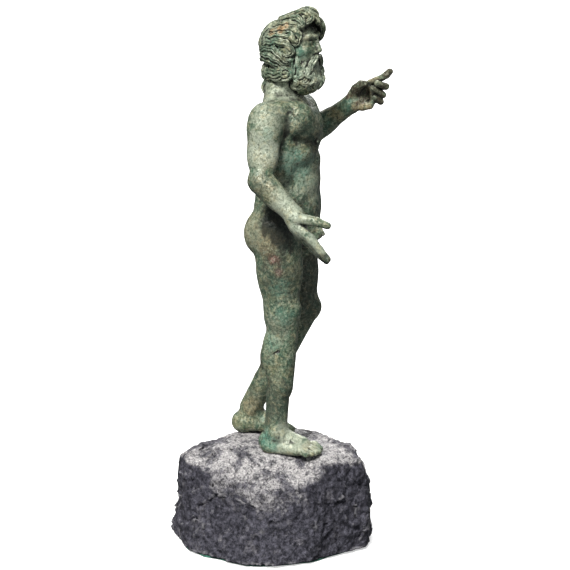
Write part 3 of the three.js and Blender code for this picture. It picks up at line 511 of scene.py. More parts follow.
# Steps between two places of a lock, how fast its wave runs in radians per millimetre, and its least radius
LOCK_STEPS = 5
WAVE_PACE = 1.15
THINNEST = 0.2


def smooth_path(places):
    """Points at even steps on a smooth curve through some places."""
    p = [2 * places[0] - places[1], *places, 2 * places[-1] - places[-2]]
    path = []
    for i in range(1, len(p) - 2):
        for t in np.arange(LOCK_STEPS) / LOCK_STEPS:
            a, b, c, d = p[i - 1 : i + 3]
            cubic = 2 * b + (c - a) * t + (2 * a - 5 * b + 4 * c - d) * t**2 + (3 * b - a - 3 * c + d) * t**3
            path.append(cubic / 2)
    return [*path, p[-2]]


def chain(clay, path, blend):
    """Limbs end to end through some points, each a place and a radius."""
    for a, b in zip(path, path[1:]):
        clay.add(limb(a[:3], b[:3], max(a[3], THINNEST), max(b[3], THINNEST)), blend)


def placed(head, places, side=1, shift=0):
    """Places and radii for one side of the head, those on the left moved back by a shift."""
    back = shift if side > 0 else 0
    return [np.append(head.at(side * x, y + back, z), r) for x, y, z, r in places]


def lock(clay, places, centre, ridges=7, depth=0.44, blend=0.3, wave=0.4):
    """A wavy lock of hair along a smooth curve, with ridges along it on the side away from a centre."""
    path = smooth_path(places)
    count = len(path) - 1
    phase = sum(path[0][:3])
    outs, sides, run = [], [], 0.0
    for i, p in enumerate(path):
        along = unit(path[min(i + 1, count)][:3] - path[max(i - 1, 0)][:3])
        out = p[:3] - centre
        outs.append(unit(out - along * (out @ along)))
        sides.append(np.cross(along, outs[-1]))
    for i, p in enumerate(path):
        run += np.linalg.norm(p[:3] - path[i - 1][:3]) if i else 0
        p[:3] += sides[i] * wave * math.sin(run * WAVE_PACE + phase)
    reach = max(p[3] for p in path) + blend + 2 * clay.step
    window = clay.window(np.min(path, 0)[:3] - reach, np.max(path, 0)[:3] + reach)
    near = np.full(clay.field[window].shape, FAR, np.float32)
    carved = np.zeros(near.shape, np.float32)
    for i in range(count):
        a, b = path[i][:3], path[i + 1][:3]
        ra, rb = max(path[i][3], THINNEST), max(path[i + 1][3], THINNEST)
        part = clay.window(np.minimum(a, b) - reach, np.maximum(a, b) + reach)
        ab = b - a
        p = [v - corner for v, corner in zip(clay.places(part), a)]
        t = np.clip(dot(p, ab) / max(ab @ ab, 1e-9), 0, 1)
        q = [p[k] - ab[k] * t for k in range(3)]
        outward = sum(q[k] * (outs[i][k] + (outs[i + 1][k] - outs[i][k]) * t) for k in range(3))
        sideways = sum(q[k] * (sides[i][k] + (sides[i + 1][k] - sides[i][k]) * t) for k in range(3))
        radius = ra + (rb - ra) * t
        away = length(q) - radius
        ridge = np.abs(np.sin(np.arctan2(sideways, outward) * ridges / 2))
        deepest = radius * depth * np.clip(0.75 + outward / (away + radius + 0.01), 0, 1)
        inner = tuple(slice(s.start - w.start, s.stop - w.start) for s, w in zip(part, window))
        closer = away < near[inner]
        near[inner] = np.where(closer, away, near[inner])
        carved[inner] = np.where(closer, deepest * (1 - ridge) ** 1.4, carved[inner])
    clay.field[window] = smooth_min(clay.field[window], near + carved, blend)


def curl(clay, centre, outward, radius, turns, thickness, start, sense):
    """A flat spiral curl of hair on a surface that faces a given way."""
    n = unit(outward)
    u = unit(np.cross(UP, n))
    v = np.cross(n, u)
    steps_per_turn = 9
    count = round(turns * steps_per_turn)
    path = []
    for i in range(count + 1):
        angle = math.radians(start) + sense * i / count * turns * 2 * math.pi
        r = radius * (0.84 - 0.66 * i / count)
        place = centre + u * r * math.sin(angle) + v * r * math.cos(angle) + n * 0.15 * radius * i / count
        path.append(np.append(place, thickness * (1 - 0.2 * i / count)))
    chain(clay, path, 0.1)


def face(clay, head):
    """The face and skull: calm, even features, with brow, nose and chin each a third of the way down."""
    clay.add(head.egg([0, -0.5, 1], [10.4, 13.6, 12.2]), 2)
    clay.add(head.egg([0, -6.8, -2.5], [9, 8.6, 10.8]), 3)
    clay.add(head.limb([0, -14.2, 4.2], [0, -16.4, -2.2], 1.05, 1.45), 1.2)
    clay.add(head.egg([0, -13.2, -12], [3.2, 2.4, 2.2]), 1.5)
    clay.add(head.egg([0, -14.3, -8.7], [2.3, 1.3, 1]), 0.5)
    for s in (-1, 1):
        clay.carve(head.egg([s * 4.2, -15.5, 1.5], [3.5, 2.5, 2.1]), 1)
        clay.add(head.egg([s * 4.1, -12.1, 1.2], [3.1, 1.8, 1.6], [0, 0, s * 14]), 0.5)
        clay.add(head.limb([s * 1.4, -14, 4.6], [s * 4.4, -13.2, 5], 0.9, 0.85), 1.5)
        clay.add(head.limb([s * 4.4, -13.2, 5], [s * 7.4, -10.6, 4], 0.85, 0.6), 1.5)
        clay.add(head.egg([s * 5.4, -11.2, -2.2], [2.8, 2.6, 2.6]), 1.5)
        clay.add(head.egg([s * 1.45, -15, -3], [1, 1.25, 0.9]), 0.35)
        clay.carve(head.egg([s * 0.75, -16, -4], [0.45, 0.6, 0.7]), 0.3)
        clay.add(head.limb([s * 0.5, -14.9, -6.8], [s * 2.7, -13.7, -7.4], 0.75, 0.5), 0.4)
        clay.carve(head.limb([0, -16, -7.75], [s * 2.8, -14.5, -7.8], 0.28, 0.2), 0.35)
        lids(clay, head, s)


def lids(clay, head, s):
    """Upper and lower eyelids, as thin rims that meet at the corners of the eye."""
    for rise, radius in ((0.95, 0.34), (-0.8, 0.26)):
        rim = []
        for i in range(7):
            t = -1 + i / 3
            place = head.at(s * (3.95 + 2.4 * t), -13.6 + 1.2 * t * t + 0.45 * t, 1.2 + rise * (1 - t * t))
            rim.append(np.append(place, radius * (1 - 0.35 * t * t)))
        chain(clay, rim, 0.3)


def jowl(head, azimuth, height, lift):
    """A place on the beard's rounded mass, with the azimuth from the chin, round to either side."""
    a = math.radians(azimuth)
    e = math.radians(height)
    bulge = 2.2 * math.exp(-((height + 34) / 22) ** 2) * max(math.cos(a), 0) ** 2
    across = (8.2 + lift) * math.sin(a) * math.cos(e)
    back = -7.4 - (8 + bulge + lift) * math.cos(a) * math.cos(e)
    return head.at(across, back, -13.4 + (9 + lift) * math.sin(e))


# The moustache, and the whiskers in front of the ear, as across, back, up and radius
MOUSTACHE = ((0.6, -15.4, -5.2, 1.2), (2.4, -15.3, -6.2, 1.7), (4.2, -14.5, -8.4, 1.9), (5, -14, -11, 1.5),
             (4.6, -14.2, -12.8, 1.0))
WHISKERS = (
    ((9.4, -5, -3.6, 1.3), (9.8, -5.2, -6, 1.8), (9.2, -6, -8.6, 1.8), (9.6, -5.4, -11, 1.3)),
    ((8.4, -8.6, -5.6, 1.2), (8.8, -8.6, -8, 1.7), (8, -9.6, -10.4, 1.7), (8.6, -9.6, -12.6, 1.2)),
    ((6.4, -11.4, -8.2, 1.1), (7.2, -11, -10.2, 1.6), (6.6, -11.8, -12.4, 1.5), (7.4, -11.8, -14, 1.0)),
)

# A hooked lock of the beard, as degrees across and up from its middle, lift and radius
HOOK = ((0, 14, -0.6, 1.2), (5, 7, 0.2, 1.7), (-1, -1, 0.9, 1.8), (4, -9, 1.5, 1.7), (-2, -15, 1.9, 1.3),
        (-9, -14, 2, 0.8))


def beard(clay, head):
    """A full mass under the jaw, and rows of short hooked locks that lie over each other, lowest first."""
    clay.add(head.egg([0, -7.8, -13.4], [8.8, 8.2, 9.4]), 1.5)
    clay.add(head.egg([0, -11.4, -17.4], [6, 5.2, 5]), 1.5)
    middle = head.at(0, -6.5, -13)
    for row, height in enumerate((-68, -50, -31, -12, 6)):
        for column in range(-4, 5):
            azimuth = column * 24 + (12 if row % 2 else 0)
            if row > 2 and abs(azimuth) < 26 or abs(azimuth) > 100:
                continue
            hook = 1 if (column + row) % 2 else -1
            wide = 1 / max(math.cos(math.radians(height)), 0.5)
            path = []
            for across, up, lift, radius in HOOK:
                place = jowl(head, azimuth + hook * across * wide, height + up, lift)
                path.append(np.append(place, radius))
            lock(clay, path, middle, ridges=5, depth=0.34, blend=0.4)
    for s in (-1, 1):
        for places in WHISKERS:
            lock(clay, placed(head, places, s), middle, ridges=5)
        lock(clay, placed(head, MOUSTACHE, s), middle, ridges=6, depth=0.4, wave=0.2)


# Locks of hair on both sides of the head, as across, back, up and radius. The first number is how much
# farther back a lock lies on the figure's left than on its right, and the second how many ridges it has.
LOCKS = (
    (0, 5, ((7.2, 12.4, -7.6, 1.4), (10.6, 7, -7.8, 1.6), (11.2, 3, -9, 1.5), (10.2, 0, -10, 1.1))),
    (0, 7, ((8.2, 11.6, -5, 1.6), (11.4, 6, -4.8, 1.8), (12, 1.8, -6.2, 1.8), (11.4, -1.6, -8.2, 1.5),
            (10.2, -4.4, -8.6, 1.1))),
    (0, 7, ((9.6, 9.8, -2.2, 1.7), (12.1, 4.6, -1.2, 1.9), (12.5, 0.8, -2.8, 1.9),
            (12.1, -2.2, -5.6, 1.7), (10.8, -5, -6.8, 1.4), (9.8, -6.8, -6, 1.0))),
    (0, 7, ((10.4, 8.2, 0.8, 1.8), (11.9, 3.6, 1.8, 2.1), (12.4, -0.6, 2.4, 2.1), (12.2, -3.9, 1.6, 1.9),
            (11.6, -6.2, -0.5, 1.7), (11.4, -6.5, -2.9, 1.5), (11.8, -4.8, -4.2, 1.2),
            (12.4, -3, -3.2, 0.9))),
    (0, 6, ((10, 7.2, 4, 1.6), (11.2, 3, 5, 1.8), (11.2, -0.8, 5.6, 1.6), (11, -3.8, 4.8, 1.2))),
    (-2.6, 7, ((9.6, 5, 6.8, 1.8), (10.2, 1, 7.8, 2.1), (10, -2.8, 8.4, 2.2), (9.2, -5.9, 8.2, 2.2),
               (8.5, -8.4, 6.6, 2.0), (8.4, -9.3, 4, 1.8), (9.2, -8.6, 1.8, 1.5),
               (10.4, -6.9, 2.2, 1.1))),
    (0.5, 6, ((7.4, 4, 9.2, 1.8), (8.6, -0.6, 10.6, 1.9), (8.9, -4.2, 11.3, 1.7), (8.4, -7.3, 11, 1.5),
              (7.8, -9.2, 9.6, 1.2), (8.2, -8.6, 8.4, 0.8))),
    (1.5, 7, ((4.6, 3.2, 10.6, 2.1), (5.7, -1.5, 12.3, 2.3), (6.5, -5.6, 13.6, 2.2),
              (7.1, -8.8, 13.3, 1.9), (7.4, -10.6, 11.8, 1.6), (7.7, -10, 10.1, 1.2),
              (8.1, -8.6, 9.8, 0.9))),
    (2.2, 7, ((1.4, 3.2, 11.2, 2.2), (2, -1, 12.6, 2.4), (2.6, -5.4, 14.3, 2.5), (3.4, -9.4, 16.1, 2.6),
              (4.2, -12.4, 15.8, 2.4), (4.8, -14, 14.1, 1.9), (5.2, -13.4, 12.3, 1.5),
              (5.8, -11.9, 11.9, 1.0))),
)

# Locks that fall over the middle of the forehead and by the left temple
FRONT_LOCKS = (
    ((-0.2, 3, 11.6, 1.8), (-0.2, -2, 13, 1.9), (-0.2, -7, 14.2, 2.0), (-0.4, -10.2, 15.2, 2.1),
     (-0.2, -12.8, 14.6, 2.0), (0.5, -14.4, 13.2, 1.7), (1.2, -15, 11.5, 1.4), (1.8, -14.4, 10, 0.9)),
    ((4.2, -9.8, 13.4, 1.8), (6, -12.4, 11.6, 2.0), (7.7, -13.6, 8.8, 2.0), (8.6, -13.3, 5.8, 1.9),
     (9.1, -12, 2.8, 1.6), (9.6, -9.8, 0.8, 1.2)),
)

# Masses under the locks by the face: across, back, up, radius, and how much farther back on the left
MASSES = (
    (1.8, -8.6, 12.8, 3.8, 1.5),
    (5, -6.8, 10.6, 3.9, 1.5),
    (8, -5.8, 4.6, 3.7, -2.6),
    (7.2, -6, 8.2, 3.1, 0),
    (10, -3.4, -2, 2.9, 0),
)

# Strands inside the hooked ends of the locks by the face, each after how much farther back on the left
INNER = (
    (1.5, ((3.2, -6, 13, 1.3), (4.2, -8.6, 14.2, 1.5), (5.6, -10.4, 13.8, 1.4), (6.2, -11.2, 12.4, 1.1))),
    (0, ((8.4, -3, 9, 1.4), (9, -6, 9, 1.6), (9.2, -8.2, 7.6, 1.5), (9.4, -9, 6, 1.2))),
    (-2.6, ((10, -2.4, 5, 1.4), (10.4, -5, 5.2, 1.6), (10.6, -7.4, 4.2, 1.5), (10.4, -8.6, 2.8, 1.2))),
    (0, ((11.2, -1, -0.8, 1.3), (11.6, -3.4, -0.6, 1.5), (11.5, -5.6, -1.6, 1.4), (11.2, -6.6, -3, 1.1))),
)

# The roll of hair at the nape, and the strands that hang below it
ROLL = ((10.4, -3.6, -13.3, 3.7), (10.2, 1, -14.2, 3.9), (8.2, 5.4, -14.6, 4.0), (4.6, 8.2, -14.8, 4.0),
        (0, 9, -14.8, 4.0))
HANGING = ((0, 0, 0, 1.3), (0.7, 0.9, -3, 1.8), (-0.5, 1.3, -6, 1.8), (-1.4, 0.5, -8.6, 1.3))


def scalp(head, azimuth, height, lift):
    """A place on the hair's rounded mass, with the azimuth from the face, round to either side."""
    a = math.radians(azimuth)
    e = math.radians(height)
    across = (10.8 + lift) * math.sin(a) * math.cos(e)
    back = 1.4 - (12.8 + lift) * math.cos(a) * math.cos(e)
    return head.at(across, back, (12.4 + lift) * math.sin(e) - 1.4)


def crown(clay, head, middle):
    """Wavy locks that run from the crown down the back of the head, side by side."""
    for i, azimuth in enumerate(range(68, 293, 14)):
        path = []
        for j, height in enumerate((82, 66, 50, 35, 20, 5, -10, -25, -36)):
            sway = 4 if j % 2 else -4
            radius = 0.9 + 1.15 * math.cos(math.radians(height))
            path.append(np.append(scalp(head, azimuth + sway, height, 0.4 * (i % 2)), radius))
        lock(clay, path, middle)


def hair(clay, head):
    """Wavy locks all round, hooked ones by the face, and a roll at the nape with strands below it."""
    clay.add(head.egg([0, 1.4, -1.4], [10.4, 12.2, 11.8]), 1)
    middle = head.at(0, 1, -1.4)
    crown(clay, head, middle)
    for s in (-1, 1):
        for x, y, z, radius, shift in MASSES:
            clay.add(head.egg([s * x, y + (shift if s > 0 else 0), z], [radius] * 3), 1)
        for shift, ridges, places in LOCKS:
            lock(clay, placed(head, places, s, shift), middle, ridges)
        lock(clay, placed(head, ROLL, s), head.at(0, 1, -14.6), ridges=13, depth=0.24)
        clay.add(head.egg([s * 11, -4, -13.2], [2.2, 3.6, 3.6]), 0.4)
        outward = head.at(s, -0.25, 0.05) - head.origin
        centre = head.at(s * 12.9, -4.1, -13.1)
        curl(clay, centre, outward, radius=4.3, turns=1.7, thickness=0.72, start=200, sense=s)
    for places in FRONT_LOCKS:
        lock(clay, placed(head, places), middle)
    for shift, places in INNER:
        for s in (-1, 1):
            lock(clay, placed(head, places, s, shift), middle, ridges=5)
    for azimuth in range(112, 249, 17):
        out = unit(scalp(head, azimuth, 0, 0) - middle)
        across = np.cross(out, UP) * (1 if azimuth < 180 else -1)
        root = scalp(head, azimuth, -40, 1.2)
        path = [np.append(root + out * lift + across * a + UP * up, r) for a, lift, up, r in HANGING]
        lock(clay, path, middle, ridges=8)
    for x in (-5.5, -2, 2, 5.5):
        tail = ((x, 8.4, -17, 1.8), (x * 1.1 + 0.4, 10.4, -19.6, 1.9), (x * 1.1 - 0.4, 11.2, -22, 1.7),
                (x * 1.2, 11, -24.4, 1.0))
        lock(clay, placed(head, tail), head.at(0, 1, -20), ridges=8)


# The hands: a palm, then for each finger its joints from the knuckle to the tip, all with radii

RIGHT_HAND = {
    "palm": {"centre": vec(-41, -24.6, 175.6), "sizes": [4.4, 3.4, 6.8], "along": vec(0.02, -0.72, -0.69)},
    "thumbward": vec(-1, -0.2, 0.17),
    "fingers": (
        ((-41.6, -23, 181, 3.2), (-43, -28.8, 180.8, 2.6), (-43.8, -35.4, 180.2, 2.3),
         (-44, -40.6, 178.6, 1.9)),
        ((-43.4, -27, 175.8, 2.6), (-44.4, -32.6, 171.2, 2.4), (-44.8, -37, 166.4, 2.1),
         (-44.8, -40.8, 162, 1.9)),
        ((-42, -25.8, 174.4, 2.3), (-42.8, -31.4, 169.8, 2.0), (-43, -35.9, 165.2, 1.9),
         (-43, -40, 160.6, 1.65)),
        ((-40.2, -24.8, 173.2, 2.2), (-40.8, -30.2, 168.6, 1.9), (-40.8, -34.6, 164.2, 1.8),
         (-40.6, -38, 160.8, 1.5)),
        ((-38.6, -24, 172.6, 2.0), (-38.8, -28.6, 168.6, 1.7), (-38.6, -32.2, 165.2, 1.6),
         (-38.4, -35, 162.4, 1.3)),
    ),
}
LEFT_HAND = {
    "palm": {"centre": vec(44.2, -37.2, 227.6), "sizes": [6.6, 2.3, 7], "along": vec(0, -0.87, 0.49)},
    "thumbward": vec(0, 0.49, 0.87),
    "fingers": (
        ((42.4, -32, 227.6, 2.9), (40.4, -34.2, 231.2, 2.6), (38.6, -37.2, 234, 2.2),
         (37, -39.4, 234.6, 1.8)),
        ((43.4, -37.6, 231, 2.1), (42.6, -41, 234.2, 1.75), (42, -47.6, 237.4, 1.65),
         (41.8, -49.6, 238.8, 1.9), (41.8, -51.4, 240.6, 1.75)),
        ((44.4, -38.2, 230, 1.9), (44.6, -42.6, 232.6, 1.8), (41.4, -49.4, 232.9, 1.8),
         (37.4, -45.8, 235, 1.6)),
        ((44.4, -37.8, 227.4, 1.9), (44.6, -42, 230, 1.75), (41.4, -48, 228.6, 1.75),
         (37, -43.6, 232.4, 1.55)),
        ((44, -37.2, 225, 1.8), (44.2, -41, 226.8, 1.65), (41.4, -46.8, 224.9, 1.65),
         (37.8, -44.4, 227.6, 1.45)),
        ((43, -33, 222.6, 2.4), (42.4, -37, 222, 2.4), (42, -41, 222.6, 2.0), (41.6, -43, 225, 1.5)),
        ((42.4, -42.6, 226, 1.3), (42.2, -41.8, 229, 1.3), (42.2, -41.2, 231.6, 1.3),
         (42.4, -40.8, 233, 1.3)),
    ),
}


def hand(clay, wrist, shape):
    """A hand from the wrist: a palm, and chains of joints."""
    palm = shape["palm"]
    along = unit(palm["along"])
    thumbward = unit(shape["thumbward"] - along * (shape["thumbward"] @ along))
    back = np.cross(along, thumbward)
    clay.add(egg(palm["centre"], palm["sizes"], [thumbward, back, along]), 2)
    clay.add(limb(wrist, wrist + along * 5, 4.1, 3), 2.5)
    for joints in shape["fingers"]:
        joints = [np.array(joint) for joint in joints]
        chain(clay, joints[:2], 1.2)
        chain(clay, joints[1:], 0.4)


def groin(clay):
    """The genitals, small and plain."""
    for s in (-1, 1):
        clay.add(egg(vec(s * 1.8, -24.6, 164), [2.1, 2.4, 3.1], [ACROSS, BACK, UP]), 1)
    clay.add(limb(vec(0, -24, 168.5), vec(0, -27.2, 164), 1.6, 1.25), 0.8)


# A casting crack across the outside of the right calf
CRACK = (
    vec(-17.8, 0.6, 101.3),
    vec(-19.6, -1.8, 101.8),
    vec(-19.8, -4.4, 103.6),
    vec(-19.3, -7.6, 105.8),
    vec(-18.4, -9.6, 106.4),
)

# Height of the cut through the neck between the two meshes of the figure, which overlap a little there.
# What lies farther to the left than the raised hand's start stays on the body at any height.
SEAM = 234.3
OVERLAP = 0.7
RAISED_HAND_FROM = 30

# Opposite corners of the two grids, how far from the surface corrosion acts, and the crack's half-width
BODY_BOX = ((-49, -57, 49), (58, 29, 247))
HEAD_BOX = ((-26, -34, SEAM - 2), (26, 17, 282))
CORRODED_DEPTH = 1.4
CRACK_RADIUS = 0.4


def corrosion(x, y, z):
    """Lumps and shallow pits that long burial leaves on bronze, in millimetres inward."""
    lumps = 0.1 * roughness(x / 5, y / 5, z / 5) + 0.09 * roughness(x / 2.1, y / 2.1, z / 2.1 + 7)
    pits = smooth_step(roughness(x / 1.2 + 3, y / 1.2, z / 1.2), 0.25, 0.8)
    lasting = smooth_step(z, RIGHT_SOLE + 1.5, RIGHT_SOLE + 4)
    return (lumps + 0.12 * pits) * lasting


def body_clay():
    """The figure up to the neck."""
    clay = Clay(*BODY_BOX, BODY_CELL)
    trunk(clay)
    marks(clay)
    neck(clay)
    for side in (-1, 1):
        leg(clay, side, *LEGS[side])
    foot(clay, -1, RIGHT_FOOT)
    foot(clay, 1, LEFT_FOOT)
    for side in (-1, 1):
        arm(clay, side, *ARMS[side])
    for side, shape in ((-1, RIGHT_HAND), (1, LEFT_HAND)):
        wrist = ARMS[side][-1]
        hand(clay, wrist, shape)
    groin(clay)
    clay.roughen(CORRODED_DEPTH, corrosion)
    for a, b in zip(CRACK, CRACK[1:]):
        clay.carve(limb(a, b, CRACK_RADIUS, CRACK_RADIUS), 0.15)
    return clay


def head_clay():
    """Head and neck, shaped on a finer grid, with the same shoulders under the neck as the body has."""
    clay = Clay(*HEAD_BOX, HEAD_CELL)
    trunk(clay)
    neck(clay)
    for side in (-1, 1):
        arm(clay, side, *ARMS[side])
    face(clay, HEAD)
    beard(clay, HEAD)
    hair(clay, HEAD)
    clay.roughen(CORRODED_DEPTH, corrosion)
    return clay


# The stone: broken faces, each with the azimuth and rise of the way it faces, and how far out and up it lies

STONE_WALLS = (
    (197, 2, 50, 0), (213, 5, 47.5, 0), (232, 8, 46.5, 0), (252, 10, 44.6, 0), (280, 11, 45.6, 0),
    (303, 9, 44.2, 0), (326, 6, 43.5, 0), (8, 2, 50.6, 0), (38, 6, 50, 0), (68, 8, 46, 0),
    (95, 8, 44.5, 0), (125, 8, 46, 0), (160, 5, 48, 0),
)
STONE_TOPS = (
    (0, 90, 0, 51.9), (285, 57, 17, 51.8), (240, 63, 24, 51.8), (332, 64, 32, 51.8), (105, 74, 28, 51.8),
)
STONE_SHOULDERS = ((195, 32, 50.5, 37), (15, 24, 50.8, 33), (60, 48, 42, 42), (150, 55, 42, 42))

# Opposite corners of the stone's grid, the width its edges are blunted over, and the depth of its relief
STONE_BOX = ((-53, -59, STONE_BOTTOM - 3), (53, 59, 57))
EDGE_BLEND = 1.5
BROKEN_DEPTH = 5


def facing(azimuth, rise):
    """The direction at an azimuth from the front, round by the left, and so many degrees up."""
    a, e = math.radians(azimuth), math.radians(rise)
    return vec(math.sin(a) * math.cos(e), -math.cos(a) * math.cos(e), math.sin(e))


def stone_clay():
    """The block: solid at first, cut by each face, then chipped, roughened and levelled under the feet."""
    clay = Clay(*STONE_BOX, STONE_CELL)
    x, y, z = clay.places(tuple(slice(0, n) for n in clay.field.shape))
    clay.field = -clay.field
    for azimuth, rise, out, up in (*STONE_WALLS, *STONE_TOPS, *STONE_SHOULDERS):
        normal = facing(azimuth, rise)
        reach = out * math.cos(math.radians(rise)) + up * math.sin(math.radians(rise))
        plane = dot((x, y, z), normal) - reach
        clay.field = -smooth_min(-clay.field, -plane, EDGE_BLEND)
    clay.carve(limb(vec(-39, -31, 44), vec(-39, -30, -4), 3, 3), 5)
    clay.carve(egg(vec(11, -55, 19), [11, 6, 8], [ACROSS, BACK, UP]), 3)
    clay.carve(egg(vec(-38, 22, 48), [7, 5.5, 6], [ACROSS, BACK, UP]), 2)
    clay.roughen(BROKEN_DEPTH, broken)
    for place in (RIGHT_FOOT, LEFT_FOOT):
        clay.carve(place.slab([0, -6.5, 10 - SEAT_GAP], [9, 20, 10]), 0.3)
    clay.carve(slab(vec(0, 0, STONE_BOTTOM - 20), [90, 90, 20], [ACROSS, BACK, UP]), 0.2)
    return clay


def facets(x, y, z, size):
    """A relief of flat tilted flakes with small steps between them, each about a given size."""
    place = np.stack([x, y, z], -1) / size
    cell = np.floor(place).astype(np.int64)
    nearest = np.full(x.shape, 9.0)
    relief = np.zeros(x.shape)
    for n in range(27):
        corner = cell + (n // 9 - 1, n // 3 % 3 - 1, n % 3 - 1)
        ix, iy, iz = corner[..., 0], corner[..., 1], corner[..., 2]
        values = [hashed(ix + 31 * k, iy - 17 * k, iz + 7 * k) for k in range(7)]
        away = place - corner - 0.5 - 0.42 * np.stack(values[:3], -1)
        distance = (away**2).sum(-1)
        tilt = sum(away[..., k] * values[3 + k] for k in range(3)) + 0.35 * values[6]
        relief = np.where(distance < nearest, tilt, relief)
        nearest = np.minimum(distance, nearest)
    return relief


def broken(x, y, z):
    """The rough relief of the broken stone, which dies away by the feet."""
    twist = 1.6 * roughness(x / 7, y / 7, z / 7 + 4)
    rough = 1.8 * roughness(x / 21, y / 21, z / 21) + 1.5 * facets(x + twist, y, z - twist, 15)
    rough = rough + 0.95 * facets(x, y + twist, z + 40, 6.5)
    ridges = 1 - 2 * np.abs(roughness(x / 3.4, y / 3.4 + 5, z / 3.4))
    fine = 0.3 * ridges + 0.32 * facets(x + 60, y, z, 2.8) + 0.2 * roughness(x / 1.3, y / 1.3, z / 1.3 + 3)
    away = FAR
    for foot_frame in (RIGHT_FOOT, LEFT_FOOT):
        cx, cy, cz = foot_frame.at(0, -7, 0)
        away = np.minimum(away, length((x - cx, y - cy, z - cz)))
    return rough * smooth_step(away, 13, 32) + fine * smooth_step(away, 9, 22)


# Meshes


def mesh_object(name, points, faces):
    """A Blender object from points in millimetres and faces that all have as many corners."""
    mesh = bpy.data.meshes.new(name)
    corners = faces.shape[1]
    mesh.vertices.add(len(points))
    mesh.vertices.foreach_set("co", (points * MM).astype(np.float32).ravel())
    mesh.loops.add(faces.size)
    mesh.loops.foreach_set("vertex_index", faces.astype(np.int32).ravel())
    mesh.polygons.add(len(faces))
    mesh.polygons.foreach_set("loop_start", np.arange(0, faces.size, corners, dtype=np.int32))
    mesh.update(calc_edges=True)
    made = bpy.data.objects.new(name, mesh)
    bpy.context.scene.collection.objects.link(made)
    return made


def thinned(piece, triangles):
    """Collapses the edges that matter least until a piece has few enough triangles."""
    modifier = piece.modifiers.new("thin", "DECIMATE")
    modifier.ratio = min(1, triangles / (2 * len(piece.data.polygons)))
    graph = bpy.context.evaluated_depsgraph_get()
    mesh = bpy.data.meshes.new_from_object(piece.evaluated_get(graph))
    piece.modifiers.clear()
    old = piece.data
    mesh.name = old.name
    piece.data = mesh
    bpy.data.meshes.remove(old)
    mesh.polygons.foreach_set("use_smooth", np.ones(len(mesh.polygons), bool))
    return piece


def vertices(piece):
    """A piece's points in millimetres, and its normals."""
    both = []
    for name in ("co", "normal"):
        values = np.empty(3 * len(piece.data.vertices), np.float32)
        piece.data.vertices.foreach_get(name, values)
        both.append(values.reshape(-1, 3))
    return both[0] / MM, both[1]


def paint(piece, name, values):
    """Gives every point of a piece a value from 0 to 1 that its material reads by name."""
    layer = piece.data.attributes.new(name, "FLOAT", "POINT")
    layer.data.foreach_set("value", np.clip(values, 0, 1).astype(np.float32))


def hollows(clay, piece, reaches, way=1):
    """How deep each point lies in a hollow, from 0 to 1, or with way=-1 how far out on an edge."""
    points, normals = vertices(piece)
    total = 0
    for reach in reaches:
        free = way * clay.sample(points + way * normals * reach) / reach
        total = total + np.clip(1 - free, 0, 1)
    return total / len(reaches)


def spots(points, places):
    """How strongly some ragged spots cover each point. A spot is a centre, a radius and a strength."""
    x, y, z = points.T
    rag = 0.32 * roughness(x / 3.1, y / 3.1, z / 3.1) + 0.24 * roughness(x / 1.1, y / 1.1, z / 1.1)
    total = np.zeros(len(points))
    for centre, radius, strength in places:
        away = np.linalg.norm(points - np.array(centre), axis=1) / radius + rag
        total = np.maximum(total, strength * (1 - smooth_step(away, 0.55, 1.15)))
    return total


# Materials


class Shader:
    """A material's nodes, made one at a time by short calls."""

    def __init__(self, name):
        self.material = bpy.data.materials.new(name)
        self.material.use_nodes = True
        self.tree = self.material.node_tree
        self.surface = self.tree.nodes["Principled BSDF"]
        self.place = self.node("ShaderNodeTexCoord").outputs["Object"]

    def node(self, kind, inputs=(), **settings):
        """A node with its settings, and its inputs as values or as other nodes' outputs."""
        made = self.tree.nodes.new(kind)
        for key, value in settings.items():
            setattr(made, key, value)
        for key, value in dict(inputs).items():
            if isinstance(value, bpy.types.NodeSocket):
                self.tree.links.new(value, made.inputs[key])
            else:
                made.inputs[key].default_value = value
        return made

    def noise(self, size, detail, rough, twist=0.0):
        """Noise with features of about a given size in millimetres."""
        inputs = {"Vector": self.place, "Scale": 1 / (size * MM), "Detail": detail, "Roughness": rough}
        return self.node("ShaderNodeTexNoise", {**inputs, "Distortion": twist}).outputs["Fac"]

    def painted(self, name):
        """A value from 0 to 1 that the piece's points carry."""
        return self.node("ShaderNodeAttribute", attribute_name=name).outputs["Fac"]

    def ramp(self, value, low, high, start=0.0, end=1.0):
        """Goes from start to end while a value goes from low to high."""
        inputs = {"Value": value, "From Min": low, "From Max": high, "To Min": start, "To Max": end}
        return self.node("ShaderNodeMapRange", inputs, interpolation_type="SMOOTHSTEP").outputs[0]

    def product(self, a, b):
        return self.node("ShaderNodeMath", {0: a, 1: b}, operation="MULTIPLY").outputs[0]

    def total(self, a, b):
        return self.node("ShaderNodeMath", {0: a, 1: b}, operation="ADD").outputs[0]

    def mix(self, share, a, b):
        """One colour, or with a share of 1 the other."""
        a, b = [(*c, 1) if isinstance(c, tuple) else c for c in (a, b)]
        return self.node("ShaderNodeMix", {0: share, 6: a, 7: b}, data_type="RGBA").outputs[2]

    def bump(self, height, depth, before=None):
        """Bump whose height of 1 stands for a depth in millimetres."""
        inputs = {"Height": height, "Distance": depth * MM, "Strength": 1.0}
        if before is not None:
            inputs["Normal"] = before
        return self.node("ShaderNodeBump", inputs).outputs[0]

    def finish(self, colour, rough, normal):
        for key, value in (("Base Color", colour), ("Roughness", rough), ("Normal", normal)):
            self.tree.links.new(value, self.surface.inputs[key])
        return self.material


